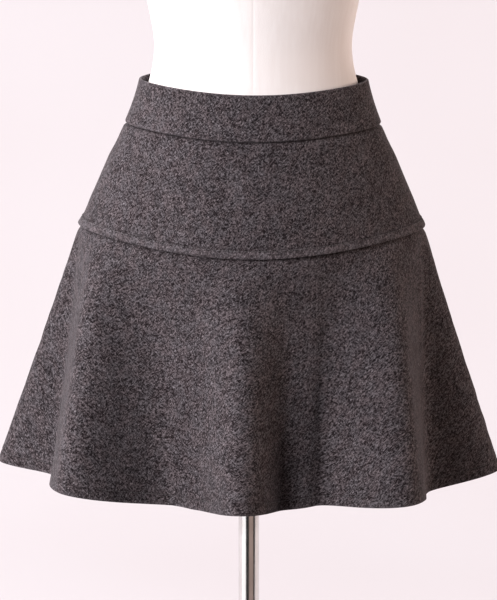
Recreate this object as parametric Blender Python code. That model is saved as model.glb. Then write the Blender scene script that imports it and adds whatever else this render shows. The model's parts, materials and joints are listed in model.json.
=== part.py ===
"""A flared wool mini skirt on a limbless dress form, which stands on a pole and a round base.

Metres, +Z up, origin on the floor under the pole. The front faces -Y, and left means -X.
Angles go round the skirt from the centre front, and are positive towards +X.
"""

import math
from collections import namedtuple

import bmesh
import bpy
import numpy as np
from mathutils import Matrix, Vector

# Cloth, seams and laps
CLOTH = 0.0020
BAND_CLOTH = 0.0030
BAND_PROUD = 0.0012
TURNED_EDGE = 0.0020
SEAM_GAP = 0.00035
LAP_GAP = 0.0006
LAP = 0.0080
STITCHED_STRIP = 0.0090
STRIP_SLOPE = 0.0015
HEM_TURN_UP = 0.0110
HEM_EXTRA = 0.0013
EDGE_ROUNDING = 0.0009

# Levels of the skirt at its sides, from the waist down
BAND_TOP = 1.0178
BAND_LOW = 0.9725
YOKE_LOW = 0.8640
HEM = 0.6055

# The skirt hangs a little lower on its right-hand side, by these heights for each metre across
UPPER_TILT = 0.0060
HEM_TILT = 0.0010

# The flounce stands out a little just below the yoke's edge
SWELL = 0.0026
SWELL_START = 0.02
SWELL_END = 0.20

# Each row is a level of the skirt's upper face or of the torso: half a lens in front and half
# behind, each with its own depth, a shift along X, how far the level drops at the centre front,
# how far it rises halfway to the side, and how pointed the sides are, from 0 for an ellipse
Section = namedtuple("Section", "height half_width front back shift drop rise lens")
UPPER = (
    Section(0.8500, 0.1852, 0.1352, 0.1440, 0.0028, 0.0080, 0.0090, 0.26),
    Section(YOKE_LOW, 0.1796, 0.1310, 0.1392, 0.0031, 0.0076, 0.0088, 0.25),
    Section(0.9000, 0.1647, 0.1215, 0.1260, 0.0036, 0.0060, 0.0078, 0.22),
    Section(0.9350, 0.1495, 0.1105, 0.1120, 0.0040, 0.0042, 0.0064, 0.18),
    Section(BAND_LOW, 0.1317, 0.0985, 0.0970, 0.0044, 0.0025, 0.0050, 0.15),
    Section(0.9930, 0.1238, 0.0908, 0.0890, 0.0048, 0.0026, 0.0048, 0.15),
    Section(BAND_TOP, 0.1170, 0.0838, 0.0815, 0.0052, 0.0026, 0.0045, 0.15),
    Section(1.0260, 0.1154, 0.0815, 0.0795, 0.0053, 0.0026, 0.0045, 0.15),
)

# Each row is a ridge, a valley or a gentle slope of the flounce: its angle and radius at the hem,
# its angle at the seam, from which it hangs, how far its hem lies above the level of HEM, and how
# many columns of the wall lie between it and the next. The flounce is cut about the same length
# all round, so a ridge, which stands further out, ends higher than a valley.
# The two side ridges and the centre back one carry seams.
Fold = namedtuple("Fold", "name hem_angle hem_radius seam_angle hem_rise columns")
FOLDS = (
    Fold("left side ridge", -91.0, 0.2670, -90.0, 0.0, 4),
    Fold("left side valley", -78.5, 0.2110, -82.0, -0.0037, 6),
    Fold("front left ridge", -50.5, 0.2450, -60.0, 0.0120, 8),
    Fold("front left valley", -30.0, 0.1590, -34.0, -0.0065, 3),
    Fold("front left slope", -20.0, 0.1630, -21.0, -0.0060, 6),
    Fold("centre front ridge", -2.0, 0.2080, -2.0, 0.0055, 6),
    Fold("centre front valley", 15.0, 0.1580, 14.0, -0.0064, 3),
    Fold("front right slope", 25.5, 0.1640, 25.0, -0.0035, 7),
    Fold("front right ridge", 43.5, 0.2400, 49.0, 0.0060, 6),
    Fold("right side valley", 67.5, 0.2020, 76.0, -0.0110, 6),
    Fold("right side ridge", 84.5, 0.2665, 90.0, 0.0, 6),
    Fold("back right outer valley", 106.0, 0.2030, 106.0, -0.0045, 6),
    Fold("back right ridge", 129.0, 0.2430, 127.0, 0.0075, 7),
    Fold("back right inner valley", 154.0, 0.1640, 153.0, -0.0055, 6),
    Fold("centre back ridge", 180.0, 0.2080, 180.0, 0.0040, 6),
    Fold("back left inner valley", 205.0, 0.1620, 205.0, -0.0060, 7),
    Fold("back left ridge", 229.0, 0.2380, 230.0, 0.0070, 5),
    Fold("back left outer valley", 251.0, 0.2050, 252.0, -0.0040, 6),
    Fold("left side ridge again", 269.0, 0.2670, 270.0, 0.0, 0),
)
FRONT_PANEL = ("left side ridge", "right side ridge")
BACK_RIGHT_PANEL = ("right side ridge", "centre back ridge")
BACK_LEFT_PANEL = ("centre back ridge", "left side ridge again")

# The torso rests about 0.5 mm inside the yoke, where the waistband's lower edge grips the hips
REST_GAP = 0.0010
LEAN_ALLOWANCE = 1.08
TORSO_SHIFT = 0.0045
TORSO_LOW = 0.7300
NECK_TOP = 1.4900
TORSO_BELOW_REST = (
    Section(TORSO_LOW, 0.1200, 0.0810, 0.0880, TORSO_SHIFT, 0.0, 0.0, 0.0),
    Section(0.7360, 0.1310, 0.0890, 0.0970, TORSO_SHIFT, 0.0, 0.0, 0.0),
    Section(0.7550, 0.1390, 0.0940, 0.1040, TORSO_SHIFT, 0.0, 0.0, 0.0),
    Section(0.8000, 0.1465, 0.0985, 0.1100, TORSO_SHIFT, 0.0, 0.0, 0.0),
    Section(0.8550, 0.1500, 0.1015, 0.1120, TORSO_SHIFT, 0.0, 0.0, 0.0),
    Section(0.9100, 0.1440, 0.1000, 0.1040, TORSO_SHIFT, 0.0, 0.0, 0.08),
    Section(0.9450, 0.1350, 0.0970, 0.0970, TORSO_SHIFT, 0.0, 0.0, 0.14),
)
TORSO_ABOVE_REST = (
    Section(1.0180, 0.1068, 0.0770, 0.0760, TORSO_SHIFT, 0.0, 0.0, 0.10),
    Section(1.0470, 0.1018, 0.0750, 0.0730, TORSO_SHIFT, 0.0, 0.0, 0.04),
    Section(1.0990, 0.1085, 0.0830, 0.0760, TORSO_SHIFT, 0.0, 0.0, 0.0),
    Section(1.1550, 0.1200, 0.0980, 0.0820, TORSO_SHIFT, 0.0, 0.0, 0.0),
    Section(1.2100, 0.1310, 0.1150, 0.0880, TORSO_SHIFT, 0.0, 0.0, 0.0),
    Section(1.2600, 0.1385, 0.1080, 0.0920, TORSO_SHIFT, 0.0, 0.0, 0.0),
    Section(1.3100, 0.1490, 0.0880, 0.0920, TORSO_SHIFT, 0.0, 0.0, 0.0),
    Section(1.3480, 0.1580, 0.0750, 0.0850, TORSO_SHIFT, 0.0, 0.0, 0.0),
    Section(1.3780, 0.1540, 0.0660, 0.0740, TORSO_SHIFT, 0.0, 0.0, 0.0),
    Section(1.3980, 0.1330, 0.0590, 0.0650, TORSO_SHIFT, 0.0, 0.0, 0.0),
    Section(1.4120, 0.1020, 0.0540, 0.0590, TORSO_SHIFT, 0.0, 0.0, 0.0),
    Section(1.4260, 0.0740, 0.0510, 0.0550, TORSO_SHIFT, 0.0, 0.0, 0.0),
    Section(1.4420, 0.0580, 0.0495, 0.0520, TORSO_SHIFT, 0.0, 0.0, 0.0),
    Section(1.4660, 0.0525, 0.0485, 0.0500, TORSO_SHIFT, 0.0, 0.0, 0.0),
    Section(NECK_TOP, 0.0515, 0.0480, 0.0490, TORSO_SHIFT, 0.0, 0.0, 0.0),
)
NECK_CAP_HEIGHT = 0.0080
NECK_CAP_OVERHANG = 0.0015

# The pole and its base
POLE_RADIUS = 0.0110
BASE_RADIUS = 0.1750
BASE_EDGE = 0.0060
BASE_BOSS_RADIUS = 0.0240
BASE_BOSS_TOP = 0.0280

# The zip's slider and pull tab, at the top of the centre back
SLIDER_HEIGHT = 1.0010
SLIDER_WIDTH = 0.0064
SLIDER_LENGTH = 0.0110
SLIDER_THICK = 0.0014
BAIL_HALF_LENGTH = 0.0036
BAIL_RISE = 0.0034
BAIL_WIRE = 0.0006
TAB_AXIS_RISE = 0.0015
TAB_THICK = 0.0010
TAB_LENGTH = 0.0190
TAB_TILT = -6.0
TAB_WIDTH = 0.0058
TAB_FOOT_WIDTH = 0.0068
TAB_BAR = 0.0012
TAB_HOLE_LENGTH = 0.0054

# How finely the walls are divided
FRONT_COLUMNS = 40
BACK_COLUMNS = FRONT_COLUMNS // 2
TORSO_COLUMNS = 32
BASE_SEGMENTS = 36
POLE_SEGMENTS = 16
DERIVATIVE_STEP = 1e-4

CHARCOAL = (0.105, 0.088, 0.096)
FORM_WHITE = (0.90, 0.86, 0.83)
STEEL = (0.80, 0.79, 0.78)
DARK_METAL = (0.10, 0.09, 0.09)


def smooth_rows(table, heights):
    """Section rows at these heights, on a cubic curve through the table's rows."""
    rows = np.array(table, float)
    levels = rows[:, 0]
    slopes = np.gradient(rows, levels, axis=0)
    heights = np.asarray(heights, float)
    low = np.clip(np.searchsorted(levels, heights, side="right") - 1, 0, len(levels) - 2)
    span = (levels[low + 1] - levels[low])[..., None]
    t = (heights - levels[low])[..., None] / span
    start_weight = 2 * t**3 - 3 * t**2 + 1
    start_slope = (t**3 - 2 * t**2 + t) * span
    end_slope = (t**3 - t**2) * span
    found = (
        start_weight * rows[low]
        + (1 - start_weight) * rows[low + 1]
        + start_slope * slopes[low]
        + end_slope * slopes[low + 1]
    )
    return Section(*np.moveaxis(found, -1, 0))


def lens_points(row, angle):
    """Points of a level at these angles: half a lens in front and another half behind."""
    ahead = np.cos(angle)
    sideways = np.sin(angle) ** 2
    depth = np.where(ahead > 0, row.front, row.back)
    across = row.shift + row.half_width * np.sin(angle)
    away = -depth * ahead * (1 - row.lens * sideways)
    up = row.height - row.drop * ahead + row.rise * ahead * sideways
    return np.stack([across, away, up], axis=-1)


def tilted(points, slope):
    """Points of the skirt, lowered on its right-hand side."""
    return points - points[..., :1] * np.array([0.0, 0.0, slope])


def upper_face(height, angle):
    """The face line of the waistband and the yoke, by side height and angle."""
    return tilted(lens_points(smooth_rows(UPPER, height), angle), UPPER_TILT)


def outward(face, level, angle):
    """Unit normals of a face, away from the pole's axis."""
    step = DERIVATIVE_STEP
    along = face(level, angle + step) - face(level, angle - step)
    rising = face(level + step, angle) - face(level - step, angle)
    normal = np.cross(along, rising)
    normal /= np.linalg.norm(normal, axis=-1, keepdims=True)
    place = face(level, angle)
    radial = np.sum(normal[..., :2] * place[..., :2], axis=-1, keepdims=True)
    return normal * np.sign(radial)


def moved_out(face, level, angle, distance):
    """Points of a face moved out along its normals, or in where the distance is negative."""
    return face(level, angle) + outward(face, level, angle) * np.asarray(distance)[..., None]


def fold_at(hem_angle):
    """Hem radius, seam angle and hem rise at a hem angle: folds ease into each other on a cosine."""
    angles = np.radians([fold.hem_angle for fold in FOLDS])
    radii = np.array([fold.hem_radius for fold in FOLDS])
    leans = np.radians([fold.seam_angle - fold.hem_angle for fold in FOLDS])
    rises = np.array([fold.hem_rise for fold in FOLDS])
    first = np.clip(np.searchsorted(angles, hem_angle, side="right") - 1, 0, len(FOLDS) - 2)
    share = (hem_angle - angles[first]) / (angles[first + 1] - angles[first])
    ease = (1 - np.cos(np.pi * share)) / 2
    radius = radii[first] + (radii[first + 1] - radii[first]) * ease
    lean = leans[first] + (leans[first + 1] - leans[first]) * ease
    rise = rises[first] + (rises[first + 1] - rises[first]) * ease
    return radius, hem_angle + lean, rise


def tucked_face(height, hem_angle):
    """The flounce's top strip, behind the yoke's edge."""
    seam_angle = fold_at(hem_angle)[1]
    return moved_out(upper_face, height, seam_angle, -(CLOTH + LAP_GAP) * np.ones_like(height))


def flounce_face(fall, hem_angle):
    """The flounce's face: straight lines from the seam, fall 0, to the folds of the hem, fall 1."""
    radius, seam_angle, rise = fold_at(hem_angle)
    top = tucked_face(np.full_like(fall, YOKE_LOW), hem_angle)
    place = [radius * np.sin(hem_angle), -radius * np.cos(hem_angle), HEM + rise]
    hem = tilted(np.stack(place, axis=-1), HEM_TILT)
    down = np.clip(fall, 0, None)
    swell = SWELL * np.exp(-down / SWELL_END) * (1 - np.exp(-down / SWELL_START))
    away = np.stack([np.sin(seam_angle), -np.cos(seam_angle), np.zeros_like(fall)], axis=-1)
    return top + (hem - top) * fall[..., None] + away * swell[..., None]


def panel_angles(face, levels, angles):
    """These angles in a row for each level, with the first and last half a seam gap further in."""
    angles = np.tile(angles, (len(levels), 1))
    step = DERIVATIVE_STEP
    for column, inwards in ((0, 1), (-1, -1)):
        edge = angles[:, column] + 2 * inwards * step
        speed = np.linalg.norm(face(levels, edge + step) - face(levels, edge - step), axis=-1)
        angles[:, column] += inwards * SEAM_GAP * step / speed
    return angles


def even_angles(start, end, columns):
    """Equally spaced angles from one seam to the next, given in degrees."""
    return np.radians(np.linspace(start, end, columns + 1))


def fold_angles(start, end):
    """Hem angles from one named fold to another, each fold's columns equally spaced."""
    names = [fold.name for fold in FOLDS]
    found = []
    for i in range(names.index(start), names.index(end)):
        here, after = FOLDS[i], FOLDS[i + 1]
        found += np.linspace(here.hem_angle, after.hem_angle, here.columns, endpoint=False).tolist()
    return np.radians([*found, FOLDS[names.index(end)].hem_angle])


def material(name, colour, roughness, metallic=0.0):
    """A Principled material, made once for each name."""
    made = bpy.data.materials.get(name) or bpy.data.materials.new(name)
    made.use_nodes = True
    shader = made.node_tree.nodes["Principled BSDF"]
    shader.inputs["Base Color"].default_value = (*colour, 1.0)
    shader.inputs["Roughness"].default_value = roughness
    shader.inputs["Metallic"].default_value = metallic
    return made


def wool():
    """Charcoal wool coating."""
    return material("charcoal_wool", CHARCOAL, 0.95)


def add_object(name, mesh, finish, parent=None):
    """A mesh as a named object with one material."""
    mesh.materials.append(finish)
    made = bpy.data.objects.new(name, mesh)
    bpy.context.scene.collection.objects.link(made)
    made.parent = parent
    return made


def mesh_from(name, points, faces):
    """A mesh with its faces pointing out."""
    mesh = bpy.data.meshes.new(name)
    mesh.from_pydata([tuple(point) for point in points], [], faces)
    form = bmesh.new()
    form.from_mesh(mesh)
    bmesh.ops.recalc_face_normals(form, faces=form.faces)
    form.to_mesh(mesh)
    form.free()
    mesh.shade_smooth()
    mesh.set_sharp_from_angle(angle=math.radians(50))
    return mesh


def cloth_wall(name, outer, inner):
    """A closed wall between two grids of points, rows going down and columns going round."""
    rows, columns = outer.shape[:2]
    front = np.arange(rows * columns).reshape(rows, columns)
    behind = front + rows * columns
    faces = []
    for sheet in (front, behind):
        corners = (sheet[:-1, :-1], sheet[1:, :-1], sheet[1:, 1:], sheet[:-1, 1:])
        faces += np.stack(corners, axis=-1).reshape(-1, 4).tolist()
    border = [*front[0], *front[1:, -1], *front[-1, -2::-1], *front[-2:0:-1, 0]]
    for here, there in zip(border, border[1:] + border[:1], strict=True):
        step = rows * columns
        faces.append([int(here), int(there), int(there) + step, int(here) + step])
    points = np.concatenate([outer.reshape(-1, 3), inner.reshape(-1, 3)])
    return add_object(name, mesh_from(name, points, faces), wool())


def panel(name, strips):
    """A cloth piece from strips down its length: a face, levels, angles, and how far its outer
    and inner sides lie from the face at each level."""
    sides = ([], [])
    for face, levels, angles, *offsets in strips:
        grid_angles = panel_angles(face, levels, angles)
        grid_levels = np.broadcast_to(levels[:, None], grid_angles.shape)
        for side, offset in zip(sides, offsets, strict=True):
            distance = np.broadcast_to(offset[:, None], grid_angles.shape)
            side.append(moved_out(face, grid_levels, grid_angles, distance))
    cloth_wall(name, np.concatenate(sides[0]), np.concatenate(sides[1]))


def upper_panels(name, heights, outer, inner):
    """The front and the two back pieces of the waistband or the yoke."""
    for part, angles in (
        ("front", even_angles(-90, 90, FRONT_COLUMNS)),
        ("back_right", even_angles(90, 180, BACK_COLUMNS)),
        ("back_left", even_angles(180, 270, BACK_COLUMNS)),
    ):
        panel(f"{name}_{part}", [(upper_face, heights, angles, outer, inner)])


def make_waistband():
    """A double band in three pieces, folded at the top and standing proud of the yoke below."""
    heights = np.array([BAND_TOP, BAND_TOP - 0.0012, 0.9930, BAND_LOW])
    outer = np.full(len(heights), BAND_PROUD)
    inner = outer - BAND_CLOTH
    outer[0] -= EDGE_ROUNDING
    inner[0] += EDGE_ROUNDING
    upper_panels("waistband", heights, outer, inner)


def make_yoke():
    """The hip yoke: its top lies behind the band, its turned lower edge over the flounce."""
    tucked = -(BAND_CLOTH - BAND_PROUD) - LAP_GAP
    rows = (
        (BAND_LOW + LAP, tucked),
        (BAND_LOW - 0.0004, tucked),
        (BAND_LOW - 0.0050, 0.0),
        (0.9350, 0.0),
        (0.9020, 0.0),
        (YOKE_LOW + STITCHED_STRIP + STRIP_SLOPE, 0.0),
        (YOKE_LOW + STITCHED_STRIP, TURNED_EDGE * 0.55),
        (YOKE_LOW + EDGE_ROUNDING, TURNED_EDGE),
        (YOKE_LOW, TURNED_EDGE - EDGE_ROUNDING),
    )
    heights = np.array([height for height, _ in rows])
    outer = np.array([offset for _, offset in rows])
    upper_panels("yoke", heights, outer, np.minimum(outer, 0.0) - CLOTH)


def make_flounce():
    """The flounce: a strip behind the yoke, then folds that grow to the turned-up hem."""
    tucked = np.array([YOKE_LOW + LAP, YOKE_LOW + 0.0010])
    turn = HEM_TURN_UP / (YOKE_LOW - HEM)
    falls = np.array([0.018, 0.09, 0.26, 0.56, 1 - turn - 0.012, 1 - turn, 1.0])
    inner = np.full(len(falls), -CLOTH)
    inner[-2:] -= HEM_EXTRA
    for name, first, last in (
        ("flounce_front", *FRONT_PANEL),
        ("flounce_back_right", *BACK_RIGHT_PANEL),
        ("flounce_back_left", *BACK_LEFT_PANEL),
    ):
        angles = fold_angles(first, last)
        strips = [
            (tucked_face, tucked, angles, np.zeros(2), np.full(2, -CLOTH)),
            (flounce_face, falls, angles, np.zeros(len(falls)), inner),
        ]
        panel(name, strips)


def torso_table():
    """The torso's sections, with the row where the skirt rests worked out from the yoke."""
    rest = smooth_rows(UPPER, BAND_LOW + LAP / 4)
    stack = (BAND_CLOTH - BAND_PROUD) + LAP_GAP + CLOTH + REST_GAP
    inset = stack * LEAN_ALLOWANCE
    widths = (rest.half_width - inset, rest.front - inset, rest.back - inset)
    row = Section(rest.height, *widths, rest.shift, rest.drop, rest.rise, rest.lens)
    return (*TORSO_BELOW_REST, Section(*map(float, row)), *TORSO_ABOVE_REST)


def make_torso():
    """The torso of the dress form: one smooth closed form from the thighs to the neck."""
    table = torso_table()
    heights = np.array([row.height for row in table])
    angles = np.linspace(0, 2 * np.pi, TORSO_COLUMNS, endpoint=False)
    grid_heights, grid_angles = np.meshgrid(heights, angles, indexing="ij")
    points = lens_points(smooth_rows(table, grid_heights), grid_angles)
    rings = np.arange(points.shape[0] * points.shape[1]).reshape(points.shape[:2])
    after = np.roll(rings, -1, axis=1)
    faces = np.stack([rings[:-1], after[:-1], after[1:], rings[1:]], axis=-1).reshape(-1, 4).tolist()
    faces += [rings[0].tolist(), rings[-1].tolist()]
    mesh = mesh_from("form_torso", points.reshape(-1, 3), faces)
    add_object("form_torso", mesh, material("form_cover", FORM_WHITE, 0.8))


def turned(name, profile, segments, finish, centre=(0.0, 0.0), stretch=(1.0, 1.0)):
    """A turned solid from a profile of radius and height, listed upwards from the axis."""
    angles = np.linspace(0, 2 * np.pi, segments, endpoint=False)
    radii, heights = np.array(profile).T
    points = np.stack(
        [
            centre[0] + stretch[0] * radii[:, None] * np.cos(angles),
            centre[1] + stretch[1] * radii[:, None] * np.sin(angles),
            heights[:, None] * np.ones(segments),
        ],
        axis=-1,
    )
    rings = np.arange(points.shape[0] * segments).reshape(-1, segments)
    after = np.roll(rings, -1, axis=1)
    faces = np.stack([rings[:-1], after[:-1], after[1:], rings[1:]], axis=-1).reshape(-1, 4).tolist()
    faces += [rings[0].tolist(), rings[-1].tolist()]
    return add_object(name, mesh_from(name, points.reshape(-1, 3), faces), finish)


def make_stand():
    """The neck cap, the pole under the torso, and the round base that stands on the floor."""
    steel = material("polished_steel", STEEL, 0.15, 1.0)
    neck = TORSO_ABOVE_REST[-1]
    low = NECK_TOP + SEAM_GAP
    depth = (neck.front + neck.back) / 2 + NECK_CAP_OVERHANG
    width = neck.half_width + NECK_CAP_OVERHANG
    turned(
        "form_neck_cap",
        (
            (0.985, low),
            (1.0, low + 0.0012),
            (1.0, low + NECK_CAP_HEIGHT - 0.0020),
            (0.955, low + NECK_CAP_HEIGHT),
        ),
        TORSO_COLUMNS,
        steel,
        centre=(neck.shift, (neck.back - neck.front) / 2),
        stretch=(width, depth),
    )
    turned(
        "form_pole",
        (
            (POLE_RADIUS, BASE_BOSS_TOP + SEAM_GAP),
            (POLE_RADIUS, TORSO_LOW - SEAM_GAP),
        ),
        POLE_SEGMENTS,
        steel,
    )
    turned(
        "form_base",
        (
            (BASE_RADIUS - 0.0008, 0.0),
            (BASE_RADIUS, 0.0010),
            (BASE_RADIUS, BASE_EDGE - 0.0014),
            (BASE_RADIUS - 0.0016, BASE_EDGE),
            (BASE_BOSS_RADIUS + 0.0060, BASE_EDGE + 0.0040),
            (BASE_BOSS_RADIUS, BASE_EDGE + 0.0080),
            (BASE_BOSS_RADIUS - 0.0030, BASE_BOSS_TOP - 0.0020),
            (BASE_BOSS_RADIUS - 0.0055, BASE_BOSS_TOP),
        ),
        BASE_SEGMENTS,
        steel,
    )


def slider_frame():
    """Where the slider's plate lies on the band: x across, y out of the cloth, z up its face."""
    height = np.array(SLIDER_HEIGHT)
    angle = np.array(math.pi)
    normal = Vector(outward(upper_face, height, angle).tolist())
    lift = BAND_PROUD + LAP_GAP
    place = Vector(moved_out(upper_face, height, angle, np.array(lift)).tolist())
    up_the_face = Vector((1, 0, 0)).cross(normal).normalized()
    across = normal.cross(up_the_face)
    turn = Matrix((across, normal, up_the_face)).transposed().to_4x4()
    return Matrix.Translation(place) @ turn


def plate_outline(half_width, low, high, corner):
    """A rectangle with cut corners, as pairs of x and z."""
    return (
        (-half_width + corner, low),
        (half_width - corner, low),
        (half_width, low + corner),
        (half_width, high - corner),
        (half_width - corner, high),
        (-half_width + corner, high),
        (-half_width, high - corner),
        (-half_width, low + corner),
    )


def slab(name, outline, low_y, high_y):
    """An outline of x and z given a thickness along y."""
    count = len(outline)
    points = [(x, y, z) for y in (low_y, high_y) for x, z in outline]
    faces = [list(range(count)), list(range(count, 2 * count))]
    for i in range(count):
        j = (i + 1) % count
        faces.append([i, j, j + count, i + count])
    return mesh_from(name, points, faces)


def bail_mesh():
    """The arch on the slider: a round wire along half an ellipse, with its feet in the plate."""
    steps = 12
    sides = 8
    turn = np.linspace(0, np.pi, steps + 1)
    path = np.stack([BAIL_RISE * np.sin(turn), -BAIL_HALF_LENGTH * np.cos(turn)], axis=-1)
    path = np.concatenate([[[-SLIDER_THICK / 2, path[0, 1]]], path, [[-SLIDER_THICK / 2, path[-1, 1]]]])
    along = np.gradient(path, axis=0)
    along /= np.linalg.norm(along, axis=1, keepdims=True)
    round_it = np.linspace(0, 2 * np.pi, sides, endpoint=False)
    across = BAIL_WIRE * np.cos(round_it)
    away = BAIL_WIRE * np.sin(round_it)
    y = path[:, None, 0] + away * -along[:, None, 1]
    z = path[:, None, 1] + away * along[:, None, 0]
    points = np.stack([np.broadcast_to(across, y.shape), y + SLIDER_THICK, z], axis=-1)
    rings = np.arange(points.shape[0] * sides).reshape(-1, sides)
    after = np.roll(rings, -1, axis=1)
    faces = np.stack([rings[:-1], after[:-1], after[1:], rings[1:]], axis=-1).reshape(-1, 4).tolist()
    faces += [rings[0].tolist(), rings[-1].tolist()]
    return mesh_from("zip_bail", points.reshape(-1, 3), faces)


def boolean(target, operation, tool):
    """A Boolean that stays on the target, with its tool kept out of the render."""
    tool.hide_render = True
    tool.display_type = "WIRE"
    change = target.modifiers.new(operation.lower(), "BOOLEAN")
    change.operation = operation
    change.object = tool
    change.solver = "EXACT"


def make_zip():
    """The slider at the top of the centre back seam, and the tab that swings on its bail."""
    metal = material("zip_metal", DARK_METAL, 0.35, 1.0)
    frame = bpy.data.objects.new("zip_frame", None)
    bpy.context.scene.collection.objects.link(frame)
    frame.matrix_world = slider_frame()
    half = SLIDER_LENGTH / 2
    outline = plate_outline(SLIDER_WIDTH / 2, -half, half, 0.0012)
    slider = add_object("zip_slider", slab("zip_slider", outline, 0.0, SLIDER_THICK), metal, frame)
    bail = add_object("zip_bail", bail_mesh(), metal, frame)
    boolean(slider, "UNION", bail)

    hinge = bpy.data.objects.new("zip_tab_hinge", None)
    bpy.context.scene.collection.objects.link(hinge)
    hinge.parent = frame
    hinge.location = (0.0, SLIDER_THICK + TAB_AXIS_RISE, 0.0)
    hinge.rotation_euler = (math.radians(TAB_TILT), 0.0, 0.0)
    bar = TAB_BAR / 2
    neck = TAB_WIDTH / 2
    foot = TAB_FOOT_WIDTH / 2
    right = (
        (neck - 0.0004, bar),
        (neck, bar - 0.0004),
        (neck, -TAB_HOLE_LENGTH),
        (foot, -0.75 * TAB_LENGTH),
        (0.9 * foot, -0.90 * TAB_LENGTH),
        (0.5 * foot, -0.98 * TAB_LENGTH),
    )
    left = tuple((-x, z) for x, z in reversed(right))
    shape = (*right, (0.0, -TAB_LENGTH), *left)
    plate = slab("zip_pull_tab", shape, -TAB_THICK / 2, TAB_THICK / 2)
    tab = add_object("zip_pull_tab", plate, metal, hinge)
    hole = plate_outline(neck - TAB_BAR, -bar - TAB_HOLE_LENGTH, -bar, 0.0003)
    opening = slab("zip_tab_hole", hole, -TAB_THICK, TAB_THICK)
    cutter = add_object("zip_tab_hole", opening, metal, hinge)
    boolean(tab, "DIFFERENCE", cutter)


def main():
    """Clears the scene and builds the skirt and the form that wears it."""
    for old in list(bpy.data.objects):
        bpy.data.objects.remove(old)
    make_waistband()
    make_yoke()
    make_flounce()
    make_torso()
    make_stand()
    make_zip()
    bpy.context.view_layer.update()


main()
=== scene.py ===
"""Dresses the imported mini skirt: felted wool cloth, stitching, the covered form and its stand.

Metres, +Z up, origin on the floor under the pole, and the front faces -Y, as in the CAD model.
Angles go round the skirt from the centre front, and are positive towards +X.
"""

import json
import logging
import math
from collections.abc import Callable, Sequence
from dataclasses import dataclass, field
from enum import Enum
from typing import Any, NamedTuple

import bpy
import numpy as np
from mathutils import Matrix, Vector

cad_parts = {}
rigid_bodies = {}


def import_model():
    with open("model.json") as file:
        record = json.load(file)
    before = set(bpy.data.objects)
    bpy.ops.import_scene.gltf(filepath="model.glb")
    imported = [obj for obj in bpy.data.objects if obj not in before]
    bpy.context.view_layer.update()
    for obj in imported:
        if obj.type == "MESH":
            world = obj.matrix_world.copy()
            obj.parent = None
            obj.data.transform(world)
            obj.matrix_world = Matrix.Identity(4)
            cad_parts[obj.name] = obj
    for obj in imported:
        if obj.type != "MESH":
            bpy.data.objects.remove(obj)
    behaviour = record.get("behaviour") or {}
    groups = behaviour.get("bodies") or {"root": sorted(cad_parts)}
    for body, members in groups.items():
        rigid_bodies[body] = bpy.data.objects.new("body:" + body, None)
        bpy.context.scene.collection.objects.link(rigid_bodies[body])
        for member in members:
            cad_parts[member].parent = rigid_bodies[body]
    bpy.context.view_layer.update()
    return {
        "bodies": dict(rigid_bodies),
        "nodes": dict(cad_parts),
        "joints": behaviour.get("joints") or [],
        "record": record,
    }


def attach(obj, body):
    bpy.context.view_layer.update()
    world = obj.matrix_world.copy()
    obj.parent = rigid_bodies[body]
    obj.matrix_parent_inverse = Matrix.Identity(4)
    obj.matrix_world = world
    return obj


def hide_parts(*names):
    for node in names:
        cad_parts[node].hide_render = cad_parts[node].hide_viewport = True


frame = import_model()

LOG = logging.getLogger("skirt")
Array = np.ndarray
Face = Callable[[Array, Array], Array]
Triple = tuple[float, float, float]
# Cells along a side of the grid that soft_field repeats
SOFT_CELLS = 64
# Places of the colour sockets of a Mix node
MIX_FACTOR, MIX_FIRST, MIX_SECOND, MIX_RESULT = 0, 6, 7, 2


class Body(Enum):
    """The CAD bodies that pieces ride on."""

    SKIRT = "skirt_on_form"
    TAB = "pull_tab"


class Slot(Enum):
    """The record's material slots."""

    WOOL = "wool"
    COVER = "form_cover"
    STEEL = "steel"
    ZIP = "zip_metal"


class Section(NamedTuple):
    """A level of the skirt's upper face or of the torso, as the CAD source words it."""

    height: Any
    half_width: Any
    front: Any
    back: Any
    shift: Any
    drop: Any
    rise: Any
    lens: Any


class Fold(NamedTuple):
    """A ridge or a valley of the flounce."""

    hem_angle: float
    hem_radius: float
    seam_angle: float
    hem_rise: float


class Crease(NamedTuple):
    """A soft ridge, or a trough where its height is negative, between two places on a panel.

    Levels are side heights on the yoke and the band, and falls from 0 to 1 on the flounce.
    """

    start_level: float
    start_angle: float
    end_level: float
    end_angle: float
    half_width: float
    height: float


class PaintedShading(NamedTuple):
    """A line of painted light and shade along a panel: a painted highlight where its amount is
    positive, a painted shadow where it is negative.

    Its distance is from the panel's lower edge, or from its top edge.
    """

    from_top: bool
    distance: float
    half_width: float
    amount: float


# Shapes repeated from the CAD source


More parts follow.
